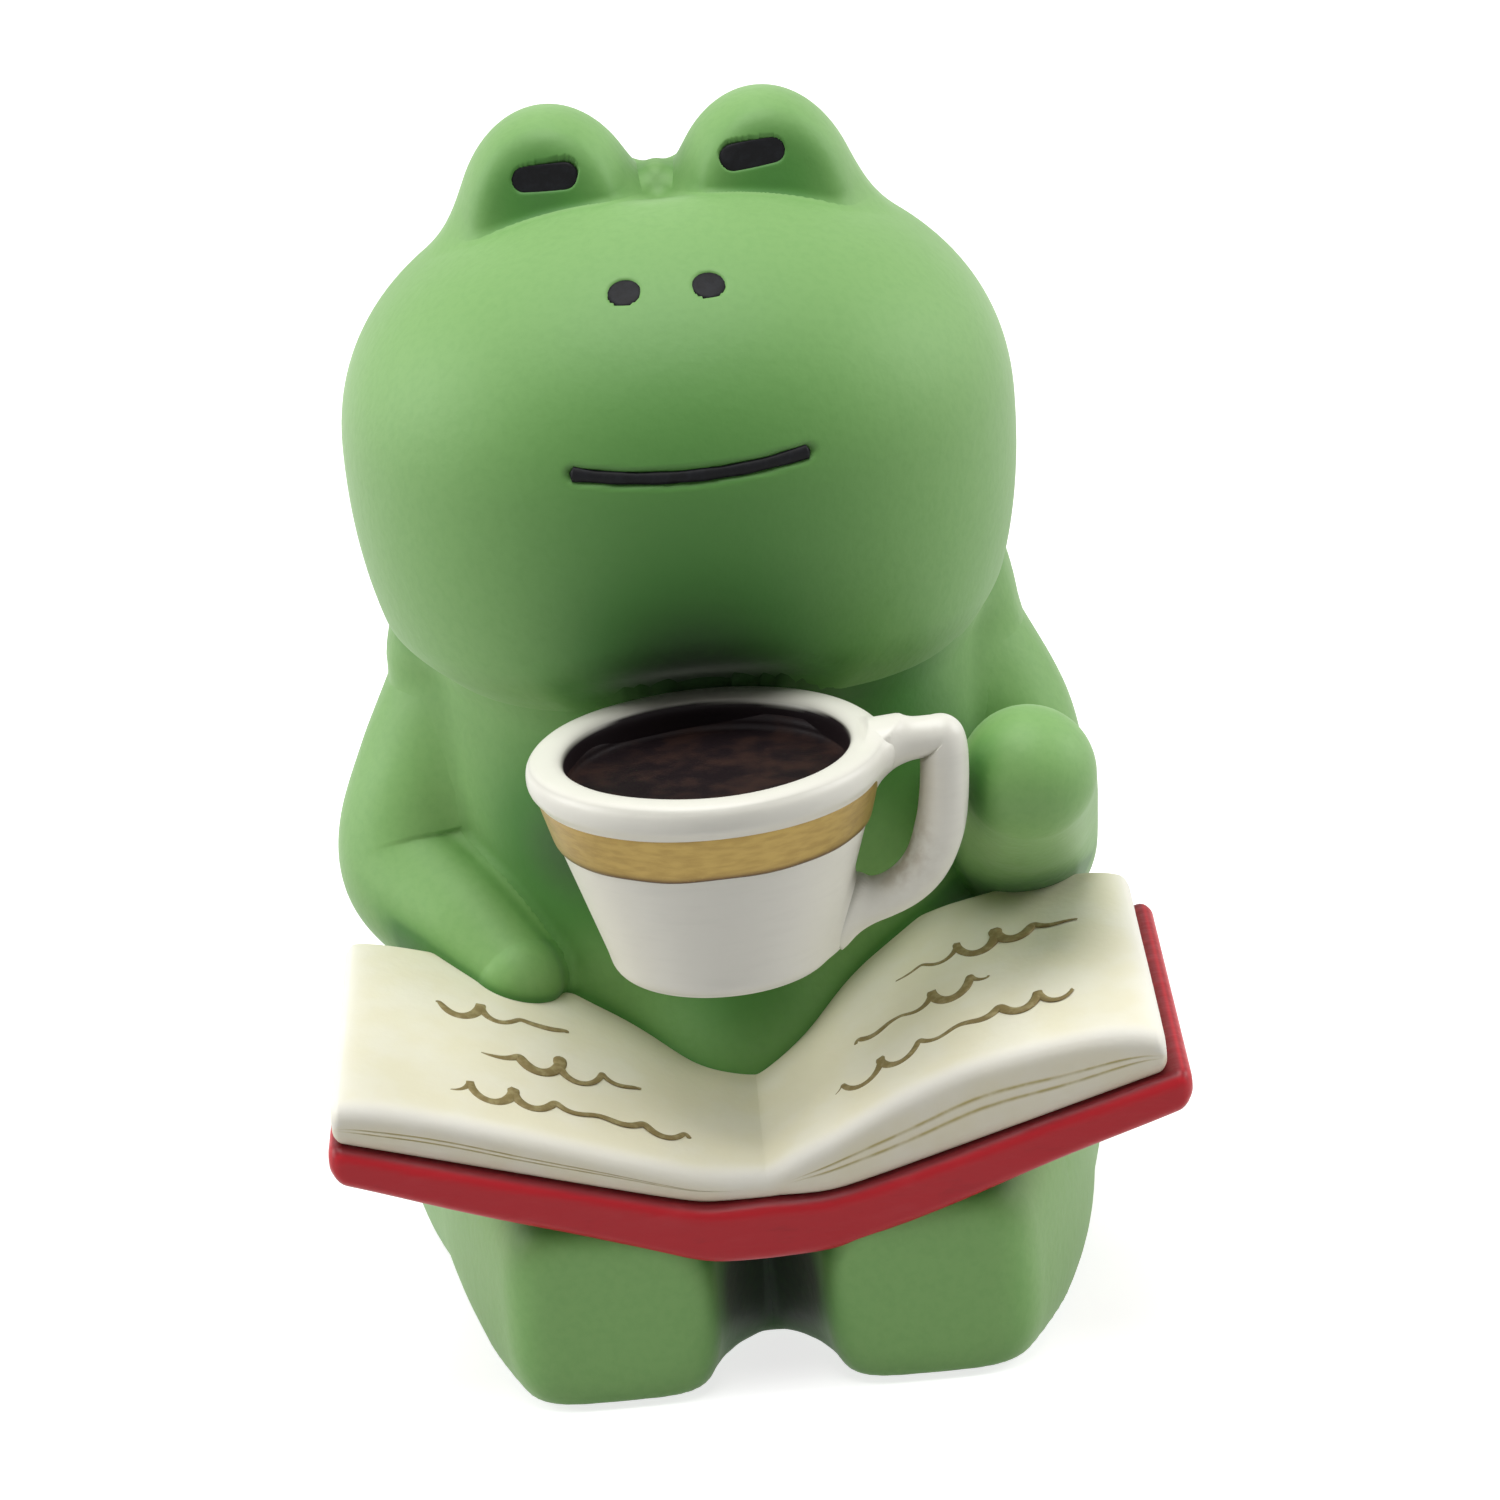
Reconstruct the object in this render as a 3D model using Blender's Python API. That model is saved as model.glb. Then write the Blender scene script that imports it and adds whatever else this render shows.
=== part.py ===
"""A seated frog figurine that holds a cup of coffee over an open book.

The frog faces -Y and sits on the plane z = 0. Left and right are the frog's own, so its left is +X.
Lengths are in metres and angles in degrees. Every casting is first made whole, as a blank, and then
cut by grown copies of the neighbours that it seats against, so the fits follow any change of size.
"""

from math import radians

import bmesh
import bpy
import numpy as np
from mathutils import Matrix, Vector

# Fits
CLEARANCE = 0.0003
WELD = 0.000001
SHARPEST_GROWTH = 1.6
PROBE = 0.00005
HALVINGS = 40

# Head: an egg with a full crown and a long jaw, a little left of the middle
HEAD_X = -0.00030
HEAD_Y = -0.0005
HEAD_Z = 0.0340
HEAD_HALF_WIDTH = 0.0133
HEAD_HALF_DEPTH = 0.0124
CROWN_RISE = 0.0098
JAW_DROP = 0.0165
HEAD_SQUARENESS = 2.15
NECK_Z = 0.0260
NECK_ROUND = 0.0009

# Eye mounds: two lobes on the crown, each with a flat front that leans back
MOUND_SPREAD = 0.0042
MOUND_Y = 0.0006
MOUND_TOP_Z = 0.0467
MOUND_HALF_WIDTH = 0.0040
MOUND_HALF_DEPTH = 0.0040
MOUND_HALF_HEIGHT = 0.0054
MOUND_FLARE = 0.0010
MOUND_FRONT_Y = -0.0017
MOUND_FRONT_LEAN = 14.0
MOUND_EDGE_ROUND = 0.0008

# Face marks: enamel fills let into the head
EYES_X = -0.00055
EYE_SPREAD = 0.0041
EYE_Z = 0.0445
EYE_HALF_LENGTH = 0.0013
EYE_HALF_HEIGHT = 0.00055
LEFT_EYE_ROLL = 6.0
NOSTRIL_SPREAD = 0.00165
NOSTRIL_Z = 0.0419
NOSTRIL_RADIUS = 0.00065
MARK_DEPTH = 0.0007
MARK_PROUD = 0.00005
MOUTH_X = 0.0
MOUTH_Z = 0.0357
MOUTH_HALF_LENGTH = 0.0045
MOUTH_BOW = 0.0003
MOUTH_RADIUS = 0.00032
MOUTH_SINK = 0.0002

# Torso: a pear, flat underneath
BELLY_X = 0.0002
BELLY_Y = 0.0012
BELLY_Z = 0.0070
BELLY_HALF_WIDTH = 0.0142
BELLY_HALF_DEPTH = 0.0112
BELLY_RISE = 0.0140
BELLY_DROP = 0.0180
CHEST_Y = 0.0006
CHEST_Z = 0.0215
CHEST_HALF_WIDTH = 0.0117
CHEST_HALF_DEPTH = 0.0107
CHEST_HALF_HEIGHT = 0.0200
WAIST_BLEND = 0.0030
LAP_X = 0.0004
LAP_Y = -0.0085
LAP_Z = 0.0098
LAP_RADIUS = 0.0034
LAP_BLEND = 0.0030

# Legs: thighs that run forward from the haunches to flat soles
FEET_X = 0.00035
SOLE_Y = -0.0195
SOLE_INNER_X = 0.0021
THIGH_OVERLAP = 0.0018
SOLE_OUTER_X = 0.0099
SOLE_HEIGHT = 0.0081
SOLE_EDGE_ROUND = 0.0009
CROTCH_DEPTH = 0.0063
KNEE_FLARE = 0.0002
THIGH_LENGTH = 0.0200
HIP_OUTER_X = 0.0137
HIP_HEIGHT = 0.0110
SOLE_BELOW_BASE = 0.0003
THIGH_BELOW_BASE = 0.0016
LEG_SQUARENESS = 3.6

# Arms: each a tapered limb from the shoulder over the upper arm's bulge to elbow and hand
SHOULDER_X = 0.0086
SHOULDER_Y = 0.0002
SHOULDER_Z = 0.0234
SHOULDER_RADIUS = 0.0032
UPPER_ARM_X = 0.0113
UPPER_ARM_Y = -0.0013
UPPER_ARM_Z = 0.0203
UPPER_ARM_RADIUS = 0.0031
CUP_ELBOW_X = 0.0117
CUP_ELBOW_Y = -0.0022
CUP_ELBOW_Z = 0.0155
CUP_ELBOW_RADIUS = 0.0033
WRIST_RADIUS = 0.0027
WRIST_SHARE = 0.6
FIST_RADIUS = 0.0027
FIST_OUT = 0.0023
FIST_BACK = 0.0024
FIST_RAISE = 0.0012
BOOK_ELBOW_X = 0.0120
BOOK_ELBOW_Y = -0.0022
BOOK_ELBOW_Z = 0.0174
BOOK_ELBOW_RADIUS = 0.0033
HAND_X = 0.0087
HAND_RADIUS = 0.0018
HAND_IN_FROM_EDGE = 0.0014
HAND_RAISE = 0.0008

# Cup: a flared cup with a rolled lip, filled to just under the lip
CUP_X = -0.0004
CUP_Y = -0.0162
CUP_BASE_Z = 0.0169
CUP_HEIGHT = 0.0085
CUP_BASE_RADIUS = 0.0044
CUP_RIM_RADIUS = 0.0069
CUP_LIP_WIDTH = 0.0015
CUP_LIP_HEIGHT = 0.0016
CUP_FOOT_ROUND = 0.0007
CUP_WELL_DEPTH = 0.0026
COFFEE_BELOW_RIM = 0.0013
COFFEE_MENISCUS = 0.0002
BAND_HEIGHT = 0.0017
BAND_BELOW_RIM = 0.0018
BAND_THICKNESS = 0.0004
BAND_PROUD = 0.0001
HANDLE_STANDOFF = 0.0030
HANDLE_TOP_BELOW_RIM = 0.0008
HANDLE_FOOT_RAISE = 0.0013
HANDLE_CORNER = 0.0008
HANDLE_LEAN = 0.0004
HANDLE_SWEEP = 0.85
HANDLE_SWEEP_RAISE = 0.0013
HANDLE_DEPTH_SHARE = 1.15
HANDLE_TOP_RADIUS = 0.00070
HANDLE_FOOT_RADIUS = 0.00060

# Book: a case with a flat spine, and two blocks of pages
BOOK_X = 0.00035
BOOK_Y = -0.0195
BOOK_Z = 0.0056
BOOK_TILT = 8.0
COVER_HALF_WIDTH = 0.01655
COVER_DEPTH = 0.0140
BOOK_TAPER = 2.4
COVER_RISE_ANGLE = 20.0
COVER_THICKNESS = 0.00135
SPINE_HALF_WIDTH = 0.0024
SPINE_THICKNESS = 0.0023
COVER_EDGE_ROUND = 0.0006
PAGE_MARGIN = 0.0004
GUTTER_THICKNESS = 0.0008
RIGHT_PAGE_THICKNESS = 0.0018
LEFT_PAGE_THICKNESS = 0.0028
FORE_EDGE_THICKNESS = 0.0005
PAGE_ARCH_POWER = 2.5
PAGE_EDGE_ROUND = 0.0003

# Facets
HEAD_FACETS = (48, 32)
TORSO_FACETS = (44, 26)
LIMB_SIDES = 18
LIMB_RINGS = 15
ARM_RINGS = 7
MOUTH_SIDES = 8
LEG_SIDES = 28
LEG_RINGS = 12
TURNED_SIDES = 44
ROUND_STEPS = 4
PAGE_STEPS = 12
SMOOTH_ANGLE = 35.0


def paint(name, rgb, roughness, metallic=0.0):
    """Returns a Principled material for one paint."""
    material = bpy.data.materials.new(name)
    material.use_nodes = True
    shader = material.node_tree.nodes["Principled BSDF"]
    shader.inputs["Base Color"].default_value = (*rgb, 1.0)
    shader.inputs["Roughness"].default_value = roughness
    shader.inputs["Metallic"].default_value = metallic
    return material


def piece_from(name, shape, material):
    """Makes an object from a bmesh, with outward faces and smooth rounds."""
    bmesh.ops.recalc_face_normals(shape, faces=shape.faces)
    mesh = bpy.data.meshes.new(name)
    shape.to_mesh(mesh)
    shape.free()
    mesh.materials.append(material)
    mesh.shade_smooth()
    mesh.set_sharp_from_angle(angle=radians(SMOOTH_ANGLE))
    piece = bpy.data.objects.new(name, mesh)
    bpy.context.scene.collection.objects.link(piece)
    return piece


def evaluated_mesh(piece):
    """Returns a new mesh of the piece with its modifiers applied."""
    graph = bpy.context.evaluated_depsgraph_get()
    return bpy.data.meshes.new_from_object(piece.evaluated_get(graph))


def largest_shell(shape):
    """Deletes every shell of a bmesh but the one with the most faces, such as offcuts of a cut."""
    unseen = set(shape.faces)
    shells = []
    while unseen:
        shell = {unseen.pop()}
        front = list(shell)
        while front:
            face = front.pop()
            near = {other for edge in face.edges for other in edge.link_faces} & unseen
            unseen -= near
            shell |= near
            front.extend(near)
        shells.append(shell)
    offcuts = [face for shell in sorted(shells, key=len)[:-1] for face in shell]
    bmesh.ops.delete(shape, geom=offcuts, context="FACES")


def settle(piece):
    """Applies a piece's modifiers, welds the cut edges and throws the offcuts away."""
    mesh = evaluated_mesh(piece)
    piece.modifiers.clear()
    piece.data = mesh
    shape = bmesh.new()
    shape.from_mesh(mesh)
    bmesh.ops.remove_doubles(shape, verts=shape.verts, dist=WELD)
    bmesh.ops.dissolve_degenerate(shape, edges=shape.edges, dist=WELD)
    largest_shell(shape)
    shape.to_mesh(mesh)
    shape.free()


def triangulate(piece):
    """Splits a piece's faces into triangles, so that a Boolean cuts a curved surface cleanly."""
    shape = bmesh.new()
    shape.from_mesh(piece.data)
    bmesh.ops.triangulate(shape, faces=shape.faces)
    shape.to_mesh(piece.data)
    shape.free()


def grown_copy(piece):
    """Returns a hidden copy of a piece that is larger by the clearance all round."""
    mesh = evaluated_mesh(piece)
    shape = bmesh.new()
    shape.from_mesh(mesh)
    bmesh.ops.triangulate(shape, faces=shape.faces)
    shape.normal_update()
    moves = [v.normal * CLEARANCE * min(v.calc_shell_factor(), SHARPEST_GROWTH) for v in shape.verts]
    for vertex, move in zip(shape.verts, moves):
        vertex.co += move
    shape.to_mesh(mesh)
    shape.free()
    cutter = bpy.data.objects.new(piece.name + "_cutter", mesh)
    cutter.matrix_world = piece.matrix_world
    cutter.hide_render = True
    cutter.display_type = "WIRE"
    bpy.context.scene.collection.objects.link(cutter)
    return cutter


def combine(piece, tools, operation):
    """Joins or cuts a piece with other objects, applies it and removes those objects."""
    triangulate(piece)
    for tool in tools:
        modifier = piece.modifiers.new(tool.name, "BOOLEAN")
        modifier.operation = operation
        modifier.solver = "EXACT"
        modifier.use_self = True
        modifier.object = tool
    settle(piece)
    for tool in tools:
        bpy.data.objects.remove(tool)


def seat(piece, neighbours):
    """Cuts the room for its neighbours, each with the clearance, out of a piece."""
    combine(piece, [grown_copy(neighbour) for neighbour in neighbours], "DIFFERENCE")


def through(knots, count):
    """Returns count points on the Catmull-Rom curve through the knots, spaced evenly in its parameter."""
    knots = np.asarray(knots, dtype=float)
    padded = np.concatenate([[2 * knots[0] - knots[1]], knots, [2 * knots[-1] - knots[-2]]])
    place = np.linspace(0, len(knots) - 1, count)
    first = np.minimum(place.astype(int), len(knots) - 2)
    t = (place - first).reshape((-1,) + (1,) * (knots.ndim - 1))
    a, b, c, d = (padded[first + step] for step in range(4))
    return 0.5 * (2 * b + (c - a) * t + (2 * a - 5 * b + 4 * c - d) * t**2 + (3 * b - a - 3 * c + d) * t**3)


def skin(rings, first_tip=None, last_tip=None):
    """Returns a closed bmesh through rings of points, each end drawn to a tip or closed flat."""
    shape = bmesh.new()
    loops = [[shape.verts.new(point) for point in ring] for ring in rings]
    sides = len(loops[0])
    for lower, upper in zip(loops, loops[1:]):
        for i in range(sides):
            j = (i + 1) % sides
            shape.faces.new((lower[i], lower[j], upper[j], upper[i]))
    for loop, tip in ((loops[0], first_tip), (loops[-1], last_tip)):
        if tip is None:
            shape.faces.new(loop)
            continue
        point = shape.verts.new(tip)
        for i in range(sides):
            shape.faces.new((loop[i], loop[(i + 1) % sides], point))
    return shape


def egg(points, centre, half_width, half_depth, rise, drop, squareness=2.0):
    """Signed distance, near enough, to an ellipsoid whose upper and lower halves differ in height.

    A squareness over 2 fills its shoulders out, as a superellipse does.
    """
    offset = np.abs(points - np.array(centre)) + WELD
    half_height = np.where(points[:, 2] > centre[2], rise, drop)
    radii = np.stack([np.full(len(points), half_width), np.full(len(points), half_depth), half_height], 1)
    reach = np.sum((offset / radii) ** squareness, axis=1) ** (1 / squareness)
    slope = np.linalg.norm(offset ** (squareness - 1) / radii**squareness, axis=1)
    return (reach - 1) * reach ** (squareness - 1) / slope


def blend_union(first, second, blend):
    """Joins two signed distances with a fillet of about the blend length."""
    share = np.clip(0.5 + 0.5 * (second - first) / blend, 0, 1)
    return second * (1 - share) + first * share - blend * share * (1 - share)


def blend_common(first, second, blend):
    """Keeps what two signed distances share, with an edge rounded by about the blend length."""
    return -blend_union(-first, -second, blend)


def head_form(points):
    """Signed distance to the head: the egg, cut off at the neck, and the two eye mounds."""
    centre = (HEAD_X, HEAD_Y, HEAD_Z)
    head = egg(points, centre, HEAD_HALF_WIDTH, HEAD_HALF_DEPTH, CROWN_RISE, JAW_DROP, HEAD_SQUARENESS)
    head = blend_common(head, NECK_Z - points[:, 2], NECK_ROUND)
    lean = radians(MOUND_FRONT_LEAN)
    crown_z = HEAD_Z + CROWN_RISE
    for side in (-1, 1):
        centre = (HEAD_X + side * MOUND_SPREAD, MOUND_Y, MOUND_TOP_Z - MOUND_HALF_HEIGHT)
        lobe = egg(points, centre, MOUND_HALF_WIDTH, MOUND_HALF_DEPTH, MOUND_HALF_HEIGHT, MOUND_HALF_HEIGHT)
        front = (MOUND_FRONT_Y - points[:, 1]) * np.cos(lean) + (points[:, 2] - crown_z) * np.sin(lean)
        head = blend_union(head, blend_common(lobe, front, MOUND_EDGE_ROUND), MOUND_FLARE)
    return head


def torso_form(points):
    """Signed distance to the torso: a broad belly, a narrower chest and a low bulge by the book's far edge."""
    centre = (BELLY_X, BELLY_Y, BELLY_Z)
    belly = egg(points, centre, BELLY_HALF_WIDTH, BELLY_HALF_DEPTH, BELLY_RISE, BELLY_DROP)
    centre = (0, CHEST_Y, CHEST_Z)
    chest = egg(points, centre, CHEST_HALF_WIDTH, CHEST_HALF_DEPTH, CHEST_HALF_HEIGHT, CHEST_HALF_HEIGHT)
    lap = np.linalg.norm(points - (LAP_X, LAP_Y, LAP_Z), axis=1) - LAP_RADIUS
    return blend_union(blend_union(belly, chest, WAIST_BLEND), lap, LAP_BLEND)


def cast(form, origins, directions, reach):
    """Returns where rays from inside a form leave it, by halving the span that holds the surface."""
    near = np.zeros(len(directions))
    far = np.full(len(directions), reach)
    for _ in range(HALVINGS):
        middle = (near + far) / 2
        inside = form(origins + directions * middle[:, None]) < 0
        near = np.where(inside, middle, near)
        far = np.where(inside, far, middle)
    return origins + directions * near[:, None]


def sculpt(name, form, core, facets, reach, material):
    """Moves the vertices of a globe along their rays from the core onto a form."""
    shape = bmesh.new()
    bmesh.ops.create_uvsphere(shape, u_segments=facets[0], v_segments=facets[1], radius=1)
    directions = np.array([vertex.co.normalized() for vertex in shape.verts])
    surface = cast(form, np.array(core), directions, reach)
    for vertex, place in zip(shape.verts, surface):
        vertex.co = place
    return piece_from(name, shape, material)


def trim(piece, place=(0, 0, 0), outward=(0, 0, -1)):
    """Cuts a piece off flat at a plane, which is the one that the figurine stands on if none is given."""
    shape = bmesh.new()
    shape.from_mesh(piece.data)
    everything = shape.verts[:] + shape.edges[:] + shape.faces[:]
    bmesh.ops.bisect_plane(shape, geom=everything, plane_co=place, plane_no=outward, clear_outer=True)
    bmesh.ops.edgeloop_fill(shape, edges=[edge for edge in shape.edges if edge.is_boundary])
    bmesh.ops.recalc_face_normals(shape, faces=shape.faces)
    shape.to_mesh(piece.data)
    shape.free()


def head(material):
    """The head in one piece with its eye mounds."""
    reach = HEAD_HALF_WIDTH + JAW_DROP
    return sculpt("head", head_form, (HEAD_X, HEAD_Y, HEAD_Z), HEAD_FACETS, reach, material)


def torso(material):
    """The body behind the book and the cup, with the flat face that the figurine stands on."""
    core = (0, BELLY_Y, (BELLY_Z + CHEST_Z) / 2)
    reach = BELLY_HALF_WIDTH + BELLY_DROP + CHEST_HALF_HEIGHT
    piece = sculpt("torso", torso_form, core, TORSO_FACETS, reach, material)
    trim(piece)
    return piece


def face_place(x, z):
    """Returns the point on the front of the head at this x and z, and the way that the surface faces."""
    origin = np.array([[x, 0, z]])
    place = cast(head_form, origin, np.array([[0.0, -1.0, 0.0]]), 2 * HEAD_HALF_DEPTH)
    probes = place + np.eye(3) * PROBE
    slope = head_form(probes) - head_form(place)
    return Vector(place[0]), Vector(slope).normalized()


def mark(name, x, z, half_length, half_height, roll, material):
    """A plug of enamel with round ends, let into the head square to its surface."""
    place, outward = face_place(x, z)
    across = Vector((0, 0, 1)).cross(outward).normalized()
    turn = np.arange(LIMB_SIDES) / LIMB_SIDES * 2 * np.pi
    end = np.where(np.abs(np.cos(turn)) < WELD, 0, np.sign(np.cos(turn)))
    along = half_height * np.cos(turn) + (half_length - half_height) * end
    upward = half_height * np.sin(turn)
    rings = [np.stack([along, upward, np.full(LIMB_SIDES, h)], 1) for h in (-MARK_DEPTH, MARK_PROUD)]
    piece = piece_from(name, skin(rings), material)
    frame = Matrix((across, outward.cross(across), outward)).transposed().to_4x4()
    piece.matrix_world = Matrix.Translation(place) @ frame @ Matrix.Rotation(radians(roll), 4, "Z")
    return piece


def limb(name, knots, radii, material, depth_share=1.0, sides=LIMB_SIDES, count=LIMB_RINGS):
    """A round limb swept through the knots, with a ball at each end, squeezed across by the depth share."""
    path = through(knots, count)
    girth = through(radii, count)
    tangents = np.gradient(path, axis=0)
    tangents /= np.linalg.norm(tangents, axis=1)[:, None]
    turn = np.arange(sides) / sides * 2 * np.pi
    first_ball = tangents[0] * girth[0]
    last_ball = tangents[-1] * girth[-1]
    bends = np.linspace(0, np.pi / 2, ROUND_STEPS + 1)[1:-1]
    stations = [(path[0] - first_ball * np.sin(a), girth[0] * np.cos(a), 0) for a in bends[::-1]]
    stations += [(path[i], girth[i], i) for i in range(count)]
    stations += [(path[-1] + last_ball * np.sin(a), girth[-1] * np.cos(a), -1) for a in bends]
    side = np.cross(tangents[0], (0, 1, 0))
    rings = []
    for centre, radius, i in stations:
        side = side - tangents[i] * np.dot(side, tangents[i])
        side = side / np.linalg.norm(side)
        other = np.cross(tangents[i], side) * depth_share
        rings.append(centre + radius * (np.outer(np.cos(turn), side) + np.outer(np.sin(turn), other)))
    tips = (path[0] - first_ball, path[-1] + last_ball)
    return piece_from(name, skin(rings, *tips), material)


def leg(name, side, material):
    """A thigh of rounded square section, from a flat sole back into the haunch."""
    turn = (np.arange(LEG_SIDES) + 0.5) / LEG_SIDES * 2 * np.pi
    across = np.sign(np.cos(turn)) * np.abs(np.cos(turn)) ** (2 / LEG_SQUARENESS)
    upward = np.sign(np.sin(turn)) * np.abs(np.sin(turn)) ** (2 / LEG_SQUARENESS)
    share = np.linspace(0, 1, LEG_RINGS)
    along = share * THIGH_LENGTH
    closing = np.clip(along / CROTCH_DEPTH, 0, 1)
    inner = (SOLE_INNER_X + THIGH_OVERLAP) * np.sqrt(1 - closing**2) - THIGH_OVERLAP
    outer = SOLE_OUTER_X + (HIP_OUTER_X - SOLE_OUTER_X) * share + KNEE_FLARE * np.sin(np.pi * share)
    top = SOLE_HEIGHT + (HIP_HEIGHT - SOLE_HEIGHT) * share
    below = SOLE_BELOW_BASE + (THIGH_BELOW_BASE - SOLE_BELOW_BASE) * closing
    rings = []
    for angle in np.linspace(0, np.pi / 2, ROUND_STEPS)[:-1]:
        inset = SOLE_EDGE_ROUND * (1 - np.sin(angle))
        set_back = SOLE_EDGE_ROUND * (1 - np.cos(angle))
        size = (inner[0] + inset, outer[0] - inset, inset - below[0], top[0] - inset)
        rings.append((set_back - SOLE_EDGE_ROUND, *size))
    rings += [(along[i], inner[i], outer[i], -below[i], top[i]) for i in range(LEG_RINGS)]
    loops = []
    for y, low_x, high_x, low_z, high_z in rings:
        x = (low_x + high_x) / 2 + across * (high_x - low_x) / 2
        z = (low_z + high_z) / 2 + upward * (high_z - low_z) / 2
        depth = np.full(LEG_SIDES, SOLE_Y + SOLE_EDGE_ROUND + y)
        loops.append(np.stack([side * x + FEET_X, depth, z], 1))
    piece = piece_from(name, skin(loops), material)
    trim(piece)
    trim(piece, (FEET_X + side * CLEARANCE / 2, 0, 0), (-side, 0, 0))
    return piece


def turned(name, profile, material):
    """Spins an outline of (radius, height) points, which starts and ends on the axis, about Z."""
    turn = np.arange(TURNED_SIDES) / TURNED_SIDES * 2 * np.pi
    circle = np.stack([np.cos(turn), np.sin(turn), np.zeros(TURNED_SIDES)], 1)
    rings = [circle * radius + (0, 0, height) for radius, height in profile[1:-1]]
    tips = [(0, 0, profile[0][1]), (0, 0, profile[-1][1])]
    return piece_from(name, skin(rings, *tips), material)


def wall_radius(height):
    """Outer radius of the cup at a height above its base."""
    return CUP_BASE_RADIUS + (CUP_RIM_RADIUS - CUP_BASE_RADIUS) * height / CUP_HEIGHT


def arc(centre, radii, start, end):
    """Points on an elliptical arc in the outline plane, from one angle to another."""
    angles = np.radians(np.linspace(start, end, ROUND_STEPS + 1))
    return [(centre[0] + radii[0] * np.cos(a), centre[1] + radii[1] * np.sin(a)) for a in angles]


def cup(material):
    """The cup: foot, flared wall with a groove for the band, rolled lip, shallow well and handle."""
    band_top = CUP_HEIGHT - BAND_BELOW_RIM + CLEARANCE
    band_foot = band_top - BAND_HEIGHT - 2 * CLEARANCE
    groove = BAND_THICKNESS + CLEARANCE - BAND_PROUD
    lip_z = CUP_HEIGHT - CUP_LIP_HEIGHT / 2
    well_radius = CUP_RIM_RADIUS - CUP_LIP_WIDTH
    foot = (CUP_BASE_RADIUS - CUP_FOOT_ROUND, CUP_FOOT_ROUND)
    profile = [(0, 0)]
    profile += arc(foot, (CUP_FOOT_ROUND, CUP_FOOT_ROUND), -90, 0)
    profile += [(wall_radius(band_foot), band_foot), (wall_radius(band_foot) - groove, band_foot)]
    profile += [(wall_radius(band_top) - groove, band_top), (wall_radius(band_top), band_top)]
    lip_centre = (CUP_RIM_RADIUS - CUP_LIP_WIDTH / 2, lip_z)
    profile += arc(lip_centre, (CUP_LIP_WIDTH / 2, CUP_LIP_HEIGHT / 2), 0, 180)
    profile += [(well_radius, CUP_HEIGHT - CUP_WELL_DEPTH), (0, CUP_HEIGHT - CUP_WELL_DEPTH)]
    piece = turned("cup", profile, material)
    top = CUP_HEIGHT - HANDLE_TOP_BELOW_RIM
    foot_z = HANDLE_FOOT_RAISE
    out = CUP_RIM_RADIUS + HANDLE_STANDOFF - HANDLE_TOP_RADIUS
    root = (CUP_RIM_RADIUS - CUP_LIP_WIDTH + HANDLE_TOP_RADIUS + CLEARANCE / 2, top)
    foot_root = (wall_radius(foot_z) - HANDLE_FOOT_RADIUS, foot_z)
    outline = [root, (out - HANDLE_CORNER, top), (out, top - HANDLE_CORNER)]
    outline += [(out - HANDLE_LEAN, (top + foot_z) / 2)]
    sweep = (wall_radius(foot_z) + HANDLE_STANDOFF * HANDLE_SWEEP, foot_z + HANDLE_SWEEP_RAISE)
    outline += [sweep, foot_root]
    knots = [(x, 0, z) for x, z in outline]
    girth = np.linspace(HANDLE_TOP_RADIUS, HANDLE_FOOT_RADIUS, len(knots))
    handle = limb("handle", knots, girth, material, HANDLE_DEPTH_SHARE)
    triangulate(handle)
    combine(piece, [handle], "UNION")
    return piece


def coffee(material):
    """The drink: a disc with a raised rim of meniscus, seated in the cup's well."""
    radius = CUP_RIM_RADIUS - CUP_LIP_WIDTH - CLEARANCE
    floor = CUP_HEIGHT - CUP_WELL_DEPTH + CLEARANCE
    surface = CUP_HEIGHT - COFFEE_BELOW_RIM
    rim = (radius, surface + COFFEE_MENISCUS)
    shore = (radius - 2 * COFFEE_MENISCUS, surface)
    return turned("coffee", [(0, floor), (radius, floor), rim, shore, (0, surface)], material)


def gold_band(material):
    """The painted band: a thin tapered ring in the groove round the cup."""
    turn = np.arange(TURNED_SIDES) / TURNED_SIDES * 2 * np.pi
    top = CUP_HEIGHT - BAND_BELOW_RIM
    foot = top - BAND_HEIGHT
    corners = [(wall_radius(foot) + BAND_PROUD, foot), (wall_radius(top) + BAND_PROUD, top)]
    corners += [(wall_radius(top) + BAND_PROUD - BAND_THICKNESS, top)]
    corners += [(wall_radius(foot) + BAND_PROUD - BAND_THICKNESS, foot)]
    shape = bmesh.new()
    loops = [[shape.verts.new((r * np.cos(a), r * np.sin(a), z)) for a in turn] for r, z in corners]
    for i in range(TURNED_SIDES):
        j = (i + 1) % TURNED_SIDES
        for lower, upper in zip(loops, loops[1:] + loops[:1]):
            shape.faces.new((lower[i], lower[j], upper[j], upper[i]))
    return piece_from("gold_band", shape, material)


def extruded(name, outline, start, end, edge_round, material):
    """Extrudes an XZ outline along Y, a little narrower at the far end, and rounds its edges."""
    rings = [[(x * (1 - BOOK_TAPER * y), y, z) for x, z in outline] for y in (start, end)]
    piece = piece_from(name, skin(rings), material)
    rounding = piece.modifiers.new("edge_round", "BEVEL")
    rounding.width = edge_round
    rounding.segments = 2
    rounding.limit_method = "ANGLE"
    rounding.angle_limit = radians(SMOOTH_ANGLE)
    settle(piece)
    return piece


def cover_height(x):
    """Height of the case's underside over the spine at a distance from the middle."""
    return max(abs(x) - SPINE_HALF_WIDTH, 0) * np.tan(radians(COVER_RISE_ANGLE))


def cover_top(x):
    """Height of the case's inside at a distance from the middle: thick at the spine, thin at the edge."""
    share = abs(x) / COVER_HALF_WIDTH
    return cover_height(x) + SPINE_THICKNESS + (COVER_THICKNESS - SPINE_THICKNESS) * share


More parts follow.
